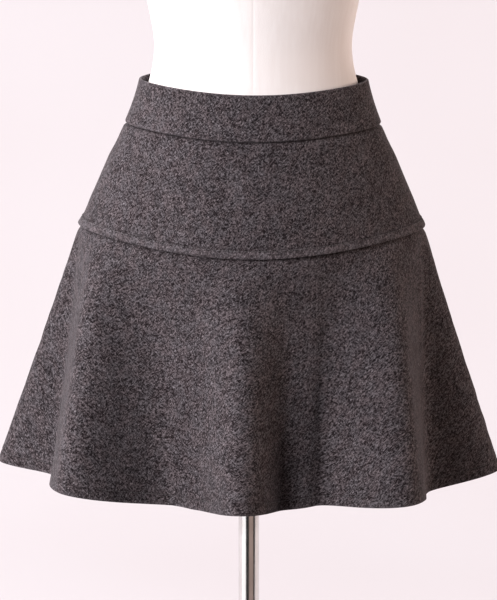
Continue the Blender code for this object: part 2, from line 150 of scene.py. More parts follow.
@dataclass(frozen=True)
class SkirtForm:
    """The faces of the skirt, worked out from the same sizes as the CAD solids."""

    cloth: float = 0.0020
    band_cloth: float = 0.0030
    band_proud: float = 0.0012
    turned_edge: float = 0.0020
    lap_gap: float = 0.0006
    lap: float = 0.0080
    strip: float = 0.0090
    hem_turn_up: float = 0.0110
    hem_extra: float = 0.0013
    band_top: float = 1.0178
    band_low: float = 0.9725
    yoke_low: float = 0.8640
    hem: float = 0.6055
    upper_tilt: float = 0.0060
    hem_tilt: float = 0.0010
    swell: float = 0.0026
    swell_start: float = 0.02
    swell_end: float = 0.20
    step: float = 1e-4
    upper: tuple[Section, ...] = (
        Section(0.8500, 0.1852, 0.1352, 0.1440, 0.0028, 0.0080, 0.0090, 0.26),
        Section(0.8640, 0.1796, 0.1310, 0.1392, 0.0031, 0.0076, 0.0088, 0.25),
        Section(0.9000, 0.1647, 0.1215, 0.1260, 0.0036, 0.0060, 0.0078, 0.22),
        Section(0.9350, 0.1495, 0.1105, 0.1120, 0.0040, 0.0042, 0.0064, 0.18),
        Section(0.9725, 0.1317, 0.0985, 0.0970, 0.0044, 0.0025, 0.0050, 0.15),
        Section(0.9930, 0.1238, 0.0908, 0.0890, 0.0048, 0.0026, 0.0048, 0.15),
        Section(1.0178, 0.1170, 0.0838, 0.0815, 0.0052, 0.0026, 0.0045, 0.15),
        Section(1.0260, 0.1154, 0.0815, 0.0795, 0.0053, 0.0026, 0.0045, 0.15),
    )
    folds: tuple[Fold, ...] = (
        Fold(-91.0, 0.2670, -90.0, 0.0),  # left side ridge
        Fold(-78.5, 0.2110, -82.0, -0.0037),  # left side valley
        Fold(-50.5, 0.2450, -60.0, 0.0120),  # front left ridge
        Fold(-30.0, 0.1590, -34.0, -0.0065),  # front left valley
        Fold(-20.0, 0.1630, -21.0, -0.0060),  # front left slope
        Fold(-2.0, 0.2080, -2.0, 0.0055),  # centre front ridge
        Fold(15.0, 0.1580, 14.0, -0.0064),  # centre front valley
        Fold(25.5, 0.1640, 25.0, -0.0035),  # front right slope
        Fold(43.5, 0.2400, 49.0, 0.0060),  # front right ridge
        Fold(67.5, 0.2020, 76.0, -0.0110),  # right side valley
        Fold(84.5, 0.2665, 90.0, 0.0),  # right side ridge
        Fold(106.0, 0.2030, 106.0, -0.0045),  # back right outer valley
        Fold(129.0, 0.2430, 127.0, 0.0075),  # back right ridge
        Fold(154.0, 0.1640, 153.0, -0.0055),  # back right inner valley
        Fold(180.0, 0.2080, 180.0, 0.0040),  # centre back ridge
        Fold(205.0, 0.1620, 205.0, -0.0060),  # back left inner valley
        Fold(229.0, 0.2380, 230.0, 0.0070),  # back left ridge
        Fold(251.0, 0.2050, 252.0, -0.0040),  # back left outer valley
        Fold(269.0, 0.2670, 270.0, 0.0),  # left side ridge again
    )

    def upper_face(self, height: Array, angle: Array) -> Array:
        """The face line of the band and the yoke: a tilted pair of half lenses at each height."""
        return tilted(lens_points(smooth_rows(self.upper, height), angle), self.upper_tilt)

    def fold_at(self, hem_angle: Array) -> tuple[Array, Array, Array]:
        """Hem radius, seam angle and hem rise: folds ease into each other on half a cosine wave.

        Args:
            hem_angle: angles at the hem, in radians.

        Returns:
            The radii, the seam angles and the rises.
        """
        angles = np.radians([fold.hem_angle for fold in self.folds])
        values = np.array(
            [
                (fold.hem_radius, math.radians(fold.seam_angle - fold.hem_angle), fold.hem_rise)
                for fold in self.folds
            ]
        )
        first = np.searchsorted(angles, hem_angle, side="right") - 1
        first = np.clip(first, 0, len(self.folds) - 2)
        share = (hem_angle - angles[first]) / (angles[first + 1] - angles[first])
        ease = ((1 - np.cos(np.pi * share)) / 2)[..., None]
        found = values[first] + (values[first + 1] - values[first]) * ease
        return found[..., 0], hem_angle + found[..., 1], found[..., 2]

    def tucked_face(self, height: Array, hem_angle: Array) -> Array:
        """The flounce's top strip: the yoke's face, moved in by a cloth and the lap's gap.

        Args:
            height: levels of the strip.
            hem_angle: angles at the hem, in radians.

        Returns:
            The points.
        """
        seam_angle = self.fold_at(hem_angle)[1]
        inwards = np.full_like(seam_angle, -(self.cloth + self.lap_gap))
        return moved_out(self.upper_face, height, seam_angle, inwards)

    def flounce_face(self, fall: Array, hem_angle: Array) -> Array:
        """The flounce: a straight line from the seam, at fall 0, to the folded hem, at fall 1.

        A small swell is added below the seam. It rises within the first hundredths of the
        fall and dies away over the next fifth.

        Args:
            fall: share of the way down.
            hem_angle: angles at the hem, in radians.

        Returns:
            The points.
        """
        radius, seam_angle, rise = self.fold_at(hem_angle)
        top = self.tucked_face(np.full_like(fall, self.yoke_low), hem_angle)
        across = radius * np.sin(hem_angle)
        away = -radius * np.cos(hem_angle)
        hem = tilted(np.stack([across, away, self.hem + rise], -1), self.hem_tilt)
        down = np.clip(fall, 0, None)
        swell = self.swell * np.exp(-down / self.swell_end) * (1 - np.exp(-down / self.swell_start))
        out = np.stack([np.sin(seam_angle), -np.cos(seam_angle), np.zeros_like(fall)], -1)
        return top + (hem - top) * fall[..., None] + out * swell[..., None]


def smooth_rows(table: Sequence[Section], heights: Array) -> Section:
    """Section rows at these heights, on a cubic curve with the table's own slopes.

    Args:
        table: the rows, going up.
        heights: where rows are wanted.

    Returns:
        One section whose fields are arrays.
    """
    rows = np.array(table, float)
    levels = rows[:, 0]
    slopes = np.gradient(rows, levels, axis=0)
    heights = np.asarray(heights, float)
    low = np.clip(np.searchsorted(levels, heights, side="right") - 1, 0, len(levels) - 2)
    span = (levels[low + 1] - levels[low])[..., None]
    t = (heights - levels[low])[..., None] / span
    start = 2 * t**3 - 3 * t**2 + 1
    found = start * rows[low] + (1 - start) * rows[low + 1]
    found += (t**3 - 2 * t**2 + t) * span * slopes[low] + (t**3 - t**2) * span * slopes[low + 1]
    return Section(*np.moveaxis(found, -1, 0))


def lens_points(row: Section, angle: Array) -> Array:
    """Points of a level: half a lens in front and another behind, with its drop and rise.

    Args:
        row: the level's sizes.
        angle: angles from the centre front, in radians.

    Returns:
        The points.
    """
    ahead = np.cos(angle)
    sideways = np.sin(angle) ** 2
    depth = np.where(ahead > 0, row.front, row.back)
    across = row.shift + row.half_width * np.sin(angle)
    away = -depth * ahead * (1 - row.lens * sideways)
    up = row.height - row.drop * ahead + row.rise * ahead * sideways
    return np.stack([across, away, up], axis=-1)


def tilted(points: Array, slope: float) -> Array:
    """Points lowered on the right-hand side by a slope."""
    return points - points[..., :1] * np.array([0.0, 0.0, slope])


def outward(face: Face, level: Array, angle: Array) -> Array:
    """Unit normals of a face, from differences along and up it, pointing off the pole's axis.

    Args:
        face: the face.
        level: heights or falls on it.
        angle: angles from the centre front, in radians.

    Returns:
        The normals.
    """
    step = FORM.step
    along = face(level, angle + step) - face(level, angle - step)
    rising = face(level + step, angle) - face(level - step, angle)
    normal = np.cross(along, rising)
    normal /= np.linalg.norm(normal, axis=-1, keepdims=True)
    place = face(level, angle)
    radial = np.sum(normal[..., :2] * place[..., :2], axis=-1, keepdims=True)
    return normal * np.where(radial < 0, -1.0, 1.0)


def moved_out(face: Face, level: Array, angle: Array, distance: Array) -> Array:
    """Points of a face moved along its normals by a distance."""
    return face(level, angle) + outward(face, level, angle) * np.asarray(distance)[..., None]


FORM = SkirtForm()


# Meshes


@dataclass
class Surface:
    """Points, faces and, on cloth, texture places and painted light and shade for each point."""

    points: Array
    faces: list[Array]
    places: Array | None = None
    wear: Array | None = None


def grid_quads(rows: int, columns: int, wrap: bool = False, first: int = 0) -> Array:
    """Faces of a grid whose rows go down and whose columns go round towards +X at the front.

    Args:
        rows: how many points go down.
        columns: how many go across.
        wrap: whether the last column meets the first.
        first: index of the first point.

    Returns:
        Four point indices for each face.
    """
    index = np.arange(rows * columns).reshape(rows, columns) + first
    after = np.roll(index, -1, axis=1) if wrap else index[:, 1:]
    here = index if wrap else index[:, :-1]
    return np.stack([here[:-1], here[1:], after[1:], after[:-1]], -1).reshape(-1, 4)


def joined(surfaces: Sequence[Surface]) -> Surface:
    """Several surfaces as one, each keeping its own points.

    Args:
        surfaces: the surfaces.

    Returns:
        The whole, without texture places.
    """
    faces, start = [], 0
    for surface in surfaces:
        faces += [block + start for block in surface.faces]
        start += len(surface.points)
    return Surface(np.concatenate([surface.points for surface in surfaces]), faces)


def closed_tube(rings: Array) -> Surface:
    """A closed solid through rings of points, with a point in the middle of each end.

    Args:
        rings: points of each ring, rings going down and points going round as columns do.

    Returns:
        The surface, its end caps fans of triangles.
    """
    count, around = rings.shape[:2]
    points = np.concatenate([rings.reshape(-1, 3), rings[:1].mean(1), rings[-1:].mean(1)])
    top, low = count * around, count * around + 1
    ring = np.arange(around)
    after = np.roll(ring, -1)
    last = (count - 1) * around
    caps = [
        np.stack([np.full(around, top), ring, after], -1),
        np.stack([np.full(around, low), after + last, ring + last], -1),
    ]
    return Surface(points, [grid_quads(count, around, wrap=True), *caps])


def make_object(name: str, surface: Surface, finish: "Finish") -> bpy.types.Object:
    """Puts a surface into a mesh object with its finish and, if it has places, a UV map.

    Args:
        name: the piece's name.
        surface: its points and faces.
        finish: the finish that makes its material.

    Returns:
        The object, at the origin, linked to the scene.
    """
    mesh = bpy.data.meshes.new(name)
    corners = np.concatenate([block.ravel() for block in surface.faces]).astype(np.int32)
    sizes = np.concatenate([np.full(len(block), block.shape[1]) for block in surface.faces])
    starts = np.concatenate([[0], np.cumsum(sizes)[:-1]]).astype(np.int32)
    mesh.vertices.add(len(surface.points))
    mesh.vertices.foreach_set("co", surface.points.astype(np.float32).ravel())
    mesh.loops.add(len(corners))
    mesh.loops.foreach_set("vertex_index", corners)
    mesh.polygons.add(len(sizes))
    mesh.polygons.foreach_set("loop_start", starts)
    mesh.update(calc_edges=True)
    if surface.places is not None:
        layer = mesh.uv_layers.new(name="Cloth")
        layer.data.foreach_set("uv", surface.places[corners].astype(np.float32).ravel())
    # The cloth's painted light and shade goes into a point attribute that the wool's colour reads.
    if surface.wear is not None:
        layer = mesh.attributes.new("PaintedShading", "FLOAT", "POINT")
        layer.data.foreach_set("value", surface.wear.astype(np.float32))
    mesh.validate()
    mesh.shade_smooth()
    mesh.materials.append(finish.material())
    made = bpy.data.objects.new(name, mesh)
    bpy.context.scene.collection.objects.link(made)
    return made


def settle(piece: bpy.types.Object, body: Body, slot: Slot, *nodes: str) -> bpy.types.Object:
    """Rides a piece on its body and hides the CAD nodes that it stands for.

    Args:
        piece: the piece.
        body: its body.
        slot: its material slot; not used.
        nodes: CAD nodes that it replaces.

    Returns:
        The piece.
    """
    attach(piece, body.value)
    if nodes:
        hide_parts(*nodes)
    LOG.info("%s: %d faces", piece.name, len(piece.data.polygons))
    return piece


def eased(share: Array) -> Array:
    """0 below 0, 1 above 1, and a smooth step between."""
    share = np.clip(share, 0, 1)
    return share * share * (3 - 2 * share)


def soft_field(u: Array, v: Array, cell: float, seed: int) -> Array:
    """A smooth random height from -1 to 1: seeded values on a square grid, eased between.

    Args:
        u: places along the cloth, in metres.
        v: places down it.
        cell: the grid's spacing.
        seed: the generator's seed.

    Returns:
        The heights.
    """
    values = np.random.default_rng(seed).uniform(-1, 1, (SOFT_CELLS, SOFT_CELLS))
    x, y = u / cell + SOFT_CELLS // 2, v / cell + SOFT_CELLS // 2
    left, low = np.floor(x).astype(int), np.floor(y).astype(int)
    across, up = eased(x - left), eased(y - low)
    here, after = left % SOFT_CELLS, (left + 1) % SOFT_CELLS
    lower, upper = (
        values[row, here] * (1 - across) + values[row, after] * across
        for row in (low % SOFT_CELLS, (low + 1) % SOFT_CELLS)
    )
    return lower * (1 - up) + upper * up


# Shader nodes


class Wire:
    """A shader socket that takes part in sums: each operator adds a Math node."""

    def __init__(self, graph: "Graph", socket: bpy.types.NodeSocket) -> None:
        """Keeps the socket and the graph that it is in."""
        self.graph = graph
        self.socket = socket

    def _math(self, operation: str, *terms: "Wire | float") -> "Wire":
        """A Math node on these terms."""
        made = self.graph.node("ShaderNodeMath", {"operation": operation}, *terms)
        return Wire(self.graph, made.outputs[0])

    def __add__(self, other: "Wire | float") -> "Wire":
        """This plus the other."""
        return self._math("ADD", self, other)

    def __radd__(self, other: float) -> "Wire":
        """A number plus this."""
        return self._math("ADD", other, self)

    def __sub__(self, other: "Wire | float") -> "Wire":
        """This less the other."""
        return self._math("SUBTRACT", self, other)

    def __rsub__(self, other: float) -> "Wire":
        """A number less this."""
        return self._math("SUBTRACT", other, self)

    def __mul__(self, other: "Wire | float") -> "Wire":
        """This times the other."""
        return self._math("MULTIPLY", self, other)

    def larger(self, other: "Wire | float") -> "Wire":
        """The larger of this and the other."""
        return self._math("MAXIMUM", self, other)

    def between(self, low: float, high: float) -> "Wire":
        """0 where this is low, 1 where it is high, and a smooth step between.

        Args:
            low: value that gives 0.
            high: value that gives 1.

        Returns:
            The step.
        """
        settings = {"interpolation_type": "SMOOTHSTEP"}
        made = self.graph.node("ShaderNodeMapRange", settings, self, low, high, 0.0, 1.0)
        return Wire(self.graph, made.outputs[0])


class Graph:
    """A material's nodes, round one Principled shader."""

    def __init__(self, name: str, fixed: dict[str, float | Sequence[float]]) -> None:
        """Makes the material and sets the shader's own sockets that are the same all over.

        Args:
            name: the material's name.
            fixed: values by socket name.
        """
        self.material = bpy.data.materials.new(name)
        self.material.use_nodes = True
        self.shader = self.material.node_tree.nodes["Principled BSDF"]
        for socket, value in fixed.items():
            self.shader.inputs[socket].default_value = value

    def node(
        self, kind: str, settings: dict[str, Any], *terms: Any, **named: Any
    ) -> bpy.types.Node:
        """Adds a node.

        Args:
            kind: the node's type.
            settings: its own settings, which are set first.
            terms: values or wires of its sockets, in order; None leaves one as it is.
            named: values or wires by socket name, with underscores for spaces.

        Returns:
            The node.
        """
        made = self.material.node_tree.nodes.new(kind)
        for key, value in settings.items():
            setattr(made, key, value)
        pairs = [(made.inputs[i], term) for i, term in enumerate(terms) if term is not None]
        pairs += [(made.inputs[key.replace("_", " ")], term) for key, term in named.items()]
        for socket, term in pairs:
            if isinstance(term, Wire):
                self.material.node_tree.links.new(term.socket, socket)
            else:
                socket.default_value = term
        return made

    def out(self, made: bpy.types.Node, name: str | int = 0) -> Wire:
        """One of a node's outputs as a wire."""
        return Wire(self, made.outputs[name])

    def place(self, own_map: bool) -> Wire:
        """The piece's own UV map, in metres, or its Object coordinates."""
        made = self.node("ShaderNodeTexCoord", {})
        return self.out(made, "UV" if own_map else "Object")

    def noise(
        self,
        place: Wire,
        size: Sequence[float],
        turn: float = 0.0,
        detail: float = 2.0,
        rough: float = 0.5,
    ) -> Wire:
        """Noise whose cells have these sizes in metres. With two sizes it is flat.

        Args:
            place: the coordinates.
            size: the cells' sizes.
            turn: their turn, in degrees.
            detail: how many finer layers it has.
            rough: how strong those are.

        Returns:
            The noise, from 0 to 1.
        """
        flat = len(size) == 2
        cell = (*size, 1.0) if flat else tuple(size)
        turned = (0.0, 0.0, math.radians(turn))
        settings = {"vector_type": "TEXTURE"}
        mapped = self.node("ShaderNodeMapping", settings, place, Rotation=turned, Scale=cell)
        kind = {"noise_dimensions": "2D" if flat else "3D"}
        values = {"Vector": self.out(mapped), "Scale": 1.0, "Detail": detail, "Roughness": rough}
        return self.out(self.node("ShaderNodeTexNoise", kind, **values))

    def mix(self, factor: Wire | float, first: Any, second: Any, blend: str = "MIX") -> Wire:
        """Two colours mixed by a factor.

        Args:
            factor: 0 for the first and 1 for the second.
            first: a colour or a wire.
            second: another.
            blend: how they are mixed.

        Returns:
            The mixed colour.
        """
        made = self.node("ShaderNodeMix", {"data_type": "RGBA", "blend_type": blend})
        for socket, term in ((MIX_FACTOR, factor), (MIX_FIRST, first), (MIX_SECOND, second)):
            if isinstance(term, Wire):
                self.material.node_tree.links.new(term.socket, made.inputs[socket])
            else:
                made.inputs[socket].default_value = term if socket == MIX_FACTOR else (*term, 1.0)
        return Wire(self, made.outputs[MIX_RESULT])

    def feed(self, socket: str, wire: Wire) -> None:
        """Links a wire to one of the shader's sockets."""
        self.material.node_tree.links.new(wire.socket, self.shader.inputs[socket])

    def bump(self, height: Wire, depth: float) -> None:
        """A Bump node on a height from 0 to 1, of this depth in metres, for the Normal."""
        made = self.node("ShaderNodeBump", {}, Strength=1.0, Distance=depth, Height=height)
        self.feed("Normal", self.out(made, "Normal"))


class Finish:
    """A finish that makes its material once."""

    name = ""

    def material(self) -> bpy.types.Material:
        """The finish's material, made at its first use."""
        return bpy.data.materials.get(self.name) or self.build()

    def build(self) -> bpy.types.Material:
        """Makes the material."""
        raise NotImplementedError


@dataclass(frozen=True)
class FeltedWool(Finish):
    """Charcoal melange coating wool, felted: short light fibres over dark gaps, with a nap."""

    name: str = "felted_wool"
    dark: Triple = (0.0080, 0.0052, 0.0060)
    light: Triple = (0.106, 0.092, 0.098)
    fleck: Triple = (0.24, 0.215, 0.228)
    warm: Triple = (1.03, 0.985, 0.985)
    cool: Triple = (0.985, 1.0, 1.015)
    stroke: tuple[float, float] = (0.0042, 0.0018)
    cross_stroke: tuple[float, float] = (0.0038, 0.0016)
    grain: float = 0.0015
    clump: float = 0.0070
    patch: float = 0.024
    spread: float = 0.20
    nap_depth: float = 0.0006

    def build(self) -> bpy.types.Material:
        """Strokes in two slanting directions, grain, clumps, wide patches, rare flecks, and lines
        of painted light and shade.

        Returns:
            The material.
        """
        fixed = {
            "Roughness": 0.95,
            "Specular IOR Level": 0.12,
            "Sheen Weight": 0.14,
            "Sheen Roughness": 0.4,
            "Sheen Tint": (0.95, 0.90, 0.92, 1.0),
        }
        graph = Graph(self.name, fixed)
        cloth = graph.place(own_map=True)
        strokes = graph.noise(cloth, self.stroke, 38.0, 2.0, 0.65)
        crossing = graph.noise(cloth, self.cross_stroke, -42.0, 2.0, 0.65)
        grain = graph.noise(cloth, (self.grain, self.grain), 0.0, 2.0, 0.6)
        clumps = graph.noise(cloth, (self.clump, self.clump * 0.8), 20.0, 2.0, 0.6)
        patches = graph.noise(cloth, (self.patch, self.patch * 0.8), 15.0, 2.0, 0.55)
        hue = graph.noise(cloth, (self.patch * 0.5, self.patch * 0.7), -20.0, 2.0, 0.5)
        specks = graph.noise(cloth, (0.0034, 0.0012), 55.0, 1.0, 0.5)
        weave = strokes.larger(crossing) * 0.65 + grain * 0.35
        tone = (weave - 0.565) * 1.5 + (clumps - 0.5) * 0.26 + (patches - 0.5) * 0.16
        lit = tone.between(-self.spread, self.spread)
        yarn = graph.mix(lit, self.dark, self.light)
        yarn = graph.mix(specks.between(0.60, 0.80) * 0.6, yarn, self.fleck)
        # Painted light and shade from the cloth's attribute: towards the fleck colour for a painted
        # highlight, towards the dark gaps' colour for a painted shadow.
        wear = graph.out(graph.node("ShaderNodeAttribute", {"attribute_name": "PaintedShading"}), "Fac")
        yarn = graph.mix(wear.larger(0.0), yarn, self.fleck)
        yarn = graph.mix((0.0 - wear).larger(0.0), yarn, self.dark)
        tint = graph.mix(hue.between(0.35, 0.65), self.warm, self.cool)
        graph.feed("Base Color", graph.mix(1.0, yarn, tint, "MULTIPLY"))
        graph.bump(weave + clumps * 0.3 + specks * 0.2, self.nap_depth)
        return graph.material


@dataclass(frozen=True)
class SewingThread(Finish):
    """Dark grey twisted sewing thread."""

    name: str = "sewing_thread"
    colour: Triple = (0.042, 0.036, 0.039)
    worn: Triple = (0.090, 0.080, 0.085)

    def build(self) -> bpy.types.Material:
        """A matt thread with a fine twist and slightly paler stretches.

        Returns:
            The material.
        """
        graph = Graph(self.name, {"Roughness": 0.8, "Sheen Weight": 0.2})
        place = graph.place(own_map=False)
        pale = graph.noise(place, (0.004, 0.004, 0.004))
        twist = graph.noise(place, (0.0006, 0.0006, 0.0002), 30.0)
        graph.feed("Base Color", graph.mix(pale.between(0.4, 0.7), self.colour, self.worn))
        graph.bump(twist, 0.00008)
        return graph.material


@dataclass(frozen=True)
class JerseyCover(Finish):
    """Off-white cotton jersey stretched over the form."""

    name: str = "jersey_cover"
    pale: Triple = (0.86, 0.815, 0.80)
    deep: Triple = (0.82, 0.765, 0.745)
    rib: Triple = (0.00085, 0.00085, 0.0014)

    def build(self) -> bpy.types.Material:
        """A fine knit in the bump, with faint soft clouding and vertical streaks.

        Returns:
            The material.
        """
        fixed = {"Roughness": 0.75, "Specular IOR Level": 0.3, "Sheen Weight": 0.12}
        graph = Graph(self.name, fixed)
        place = graph.place(own_map=False)
        knit = graph.noise(place, self.rib, detail=1.0)
        cloud = graph.noise(place, (0.05, 0.05, 0.09))
        streak = graph.noise(place, (0.004, 0.004, 0.12))
        tone = cloud * 0.6 + streak * 0.4
        graph.feed("Base Color", graph.mix(tone.between(0.35, 0.65), self.pale, self.deep))
        graph.feed("Roughness", 0.70 + knit * 0.12)
        graph.bump(knit, 0.00012)
        return graph.material


@dataclass(frozen=True)
class PolishedSteel(Finish):
    """Bright steel tube and plate, with faint drawing marks."""

    name: str = "polished_steel_finish"
    bright: Triple = (0.80, 0.785, 0.77)
    dull: Triple = (0.70, 0.685, 0.67)
    base_rough: float = 0.13

    def build(self) -> bpy.types.Material:
        """Metal whose roughness and tone change a little along fine marks.

        Returns:
            The material.
        """
        graph = Graph(self.name, {"Metallic": 1.0})
        place = graph.place(own_map=False)
        marks = graph.noise(place, (0.0012, 0.0012, 0.03), detail=3.0)
        cloud = graph.noise(place, (0.03, 0.03, 0.03))
        graph.feed("Base Color", graph.mix(cloud.between(0.3, 0.7), self.bright, self.dull))
        graph.feed("Roughness", self.base_rough + marks * 0.08 + cloud * 0.04)
        graph.bump(marks, 0.00002)
        return graph.material


@dataclass(frozen=True)
class DarkZipMetal(Finish):
    """Dark satin metal of the zip's slider and pull tab, paler where fingers rub it."""

    name: str = "dark_zip_metal"
    dark: Triple = (0.085, 0.078, 0.080)
    rubbed: Triple = (0.20, 0.19, 0.19)

    def build(self) -> bpy.types.Material:
        """Satin metal with rubbed patches and fine scratches.

        Returns:
            The material.
        """
        graph = Graph(self.name, {"Metallic": 1.0})
        place = graph.place(own_map=False)
        rub = graph.noise(place, (0.003, 0.003, 0.005), detail=3.0)
        scratch = graph.noise(place, (0.0002, 0.0002, 0.003), 12.0)
        graph.feed("Base Color", graph.mix(rub.between(0.5, 0.75), self.dark, self.rubbed))
        graph.feed("Roughness", 0.30 + rub * 0.15 + scratch * 0.06)
        graph.bump(scratch, 0.00001)
        return graph.material


# Cloth


@dataclass
class ClothPanel:
    """One cut piece of cloth: a thin closed shell with rounded edges, on the skirt's faces."""

    start: float
    end: float
    columns: int
    map_shift: tuple[float, float]
    creases: tuple[Crease, ...] = ()
    # Lines of painted light and shade on the outer side.
    wear: tuple[PaintedShading, ...] = ()
    edge_steps: tuple[float, ...] = (0.0, 0.00025, 0.0006, 0.0012, 0.0022)
    seam_round: float = 0.0010
    meet: float = 0.00006
    unevenness: float = 0.00035
    uneven_cell: float = 0.016
    uneven_seed: int = 7
    uneven_start: float = 0.02
    seam_inset: float = 0.003
    crease_fade: float = 0.35
    top_round: float = 0.0008
    inner_top_round: float = 0.0005
    inner_low_share: float = 0.6
    inner_seam_share: float = 0.5
    outer_limit: float = 0.55
    inner_limit: float = 0.35

    def angles(self, face: Face, levels: Array) -> tuple[Array, Array]:
        """Angles of the columns in each row, and how far each column is from a seam.

        The columns are evenly spaced, with a few more close to each seam, which lie at set
        distances from it in every row.

        Args:
            face: the face that the rows lie on.
            levels: its levels, one for each row.

        Returns:
            The angles and the distances, as two grids.
        """
        ends = np.radians([self.start, self.end])
        near = self.meet + np.array(self.edge_steps)
        speeds = []
        for end in ends:
            at = np.full_like(levels, end - np.sign(end - ends.mean()) * self.seam_inset)
            gap = face(levels, at + FORM.step) - face(levels, at - FORM.step)
            speeds.append(np.linalg.norm(gap, axis=-1)[:, None] / (2 * FORM.step))
        middle = np.linspace(ends[0], ends[1], self.columns + 1)[1:-1]
        rows = len(levels)
        grid = [
            ends[0] + near / speeds[0],
            np.tile(middle, (rows, 1)),
            (ends[1] - near / speeds[1])[:, ::-1],
        ]
        far = np.full((rows, len(middle)), 1.0)
        edge = np.tile(np.array(self.edge_steps), (rows, 1))
        return np.concatenate(grid, axis=1), np.concatenate([edge, far, edge[:, ::-1]], axis=1)

    def relief(self, levels: Array, angles: Array, points: Array) -> Array:
        """Heights of the panel's creases: a bell across each, fading at both of its ends.

        Args:
            levels: level of each point.
            angles: angle of each, in radians.
            points: the points themselves.

        Returns:
            A height for each point.
        """
        total = np.zeros(angles.shape)
        radius = np.linalg.norm(points[..., :2], axis=-1)
        for crease in self.creases:
            along = (levels - crease.start_level) / (crease.end_level - crease.start_level)
            centre = crease.start_angle + (crease.end_angle - crease.start_angle) * along
            distance = (angles - np.radians(centre)) * radius
            inside = np.clip(along, 0, 1)
            fade = eased(inside / self.crease_fade) * eased((1 - inside) / self.crease_fade)
            total += crease.height * fade * np.exp(-((distance / crease.half_width) ** 2))
        return total

    def shell(
        self, strips: Sequence[tuple[Face, Array, Array, Array]], bottom_round: float
    ) -> Surface:
        """The panel's closed shell.

        The outer side lies at its profile's offset from the face plus the creases and a slight
        unevenness, and the inner side below it. Near each edge both sides curve together on a
        quarter circle, and a narrow border joins them.

        Args:
            strips: faces with their levels, and the outer and inner offsets at each level.
            bottom_round: radius of the lower edge.

        Returns:
            The surface, with texture places in metres.
        """
        parts = []
        for face, rows, outer, inner in strips:
            grid, gap = self.angles(face, rows)
            level = np.broadcast_to(rows[:, None], grid.shape)
            sides = [np.broadcast_to(side[:, None], grid.shape) for side in (outer, inner)]
            creased = face == FORM.flounce_face or len(strips) == 1
            at = level if creased else np.full(grid.shape, -1.0)
            parts.append((face(level, grid), outward(face, level, grid), at, grid, gap, *sides))
        whole = [np.concatenate(blocks) for blocks in zip(*parts, strict=True)]
        base, normal, level, angle, gap, outer, inner = whole
        down = np.cumsum(np.linalg.norm(np.diff(base, axis=0, prepend=base[:1]), axis=-1), axis=0)
        across = np.linalg.norm(np.diff(base, axis=1, prepend=base[:, :1]), axis=-1)
        across = np.cumsum(across, axis=1)
        across -= across[:, -1:] / 2
        lift = self.relief(level, angle, base)
        soft = soft_field(
            across + self.map_shift[0], down, self.uneven_cell, self.uneven_seed
        )
        lift += self.unevenness * soft * eased(down / self.uneven_start)
        below = down[-1:] - down
        thick = outer - inner
        curve = edge_drop(below, bottom_round) + edge_drop(down, self.top_round)
        curve = np.maximum(curve, edge_drop(gap, self.seam_round))
        curve_in = edge_drop(below, bottom_round * self.inner_low_share)
        curve_in = curve_in + edge_drop(down, self.inner_top_round)
        curve_in = np.maximum(curve_in, edge_drop(gap, self.seam_round * self.inner_seam_share))
        sunk = np.minimum(curve, thick * self.outer_limit)
        raised = np.minimum(curve_in, thick * self.inner_limit)
        outside = base + normal * (outer + lift - sunk)[..., None]
        inside = base + normal * (inner + lift + raised)[..., None]
        # Painted light and shade along lines of the panel, measured from its top or lower edge:
        # painted highlights where positive, painted shadows where negative.
        worn = np.zeros(down.shape)
        for row in self.wear:
            away = (down if row.from_top else below) - row.distance
            worn += row.amount * np.exp(-((away / row.half_width) ** 2))
        return self.closed(outside, inside, np.stack([across, -down], -1), worn)

    def closed(self, outside: Array, inside: Array, places: Array, worn: Array) -> Surface:
        """Two grids joined along their borders into one closed shell.

        Args:
            outside: the outer grid.
            inside: the inner grid.
            places: texture places.
            worn: painted light and shade of the outer side.

        Returns:
            The shell.
        """
        rows, columns = outside.shape[:2]
        front = grid_quads(rows, columns)
        behind = grid_quads(rows, columns, first=rows * columns)[:, ::-1]
        index = np.arange(rows * columns).reshape(rows, columns)
        border = np.concatenate([index[0], index[1:, -1], index[-1, -2::-1], index[-2:0:-1, 0]])
        after = np.roll(border, -1)
        step = rows * columns
        rim = np.stack([border, after, after + step, border + step], -1)
        shift = np.array(self.map_shift)
        flat = places.reshape(-1, 2) + shift
        points = np.concatenate([outside.reshape(-1, 3), inside.reshape(-1, 3)])
        worn = np.concatenate([worn.ravel(), np.zeros(worn.size)])
        return Surface(points, [front, behind, rim], np.concatenate([flat, flat]), worn)


def edge_drop(distance: Array, radius: float) -> Array:
    """How far a rounded edge falls away: a quarter circle within its radius of the edge."""
    short = np.clip(radius - distance, 0, radius)
    return radius - np.sqrt(np.clip(radius**2 - short**2, 0, None))


class Cut(NamedTuple):
    """A piece as it is cut: its side and span of the skirt, and its flat box and area.

    Its columns and the shift of its map belong to the model.
    """

    side: str
    start: float
    end: float
    columns: int
    map_shift: float
    box: tuple[float, float]
    area: float


def dense(levels: Sequence[float], spacing: float) -> Array:
    """Levels with more put between them, evenly, no further apart than a spacing.

    Args:
        levels: levels that are kept.
        spacing: the widest gap.

    Returns:
        All the levels.
    """
    parts = []
    for here, there in zip(levels[:-1], levels[1:], strict=True):
        count = max(1, math.ceil(abs(there - here) / spacing))
        parts.append(np.linspace(here, there, count, endpoint=False))
    return np.concatenate([*parts, [levels[-1]]])


def profile(levels: Array, knots: Sequence[tuple[float, float]]) -> Array:
    """Offsets at these levels: each knot's offset eases smoothly into the next one's.

    Args:
        levels: where offsets are wanted.
        knots: levels with their offsets, in order.

    Returns:
        The offsets.
    """
    at = np.array([knot[0] for knot in knots])
    offsets = np.array([knot[1] for knot in knots])
    if at[0] > at[-1]:
        at, offsets = at[::-1], offsets[::-1]
    first = np.clip(np.searchsorted(at, levels, side="right") - 1, 0, len(at) - 2)
    share = eased((levels - at[first]) / (at[first + 1] - at[first]))
    return offsets[first] + (offsets[first + 1] - offsets[first]) * share


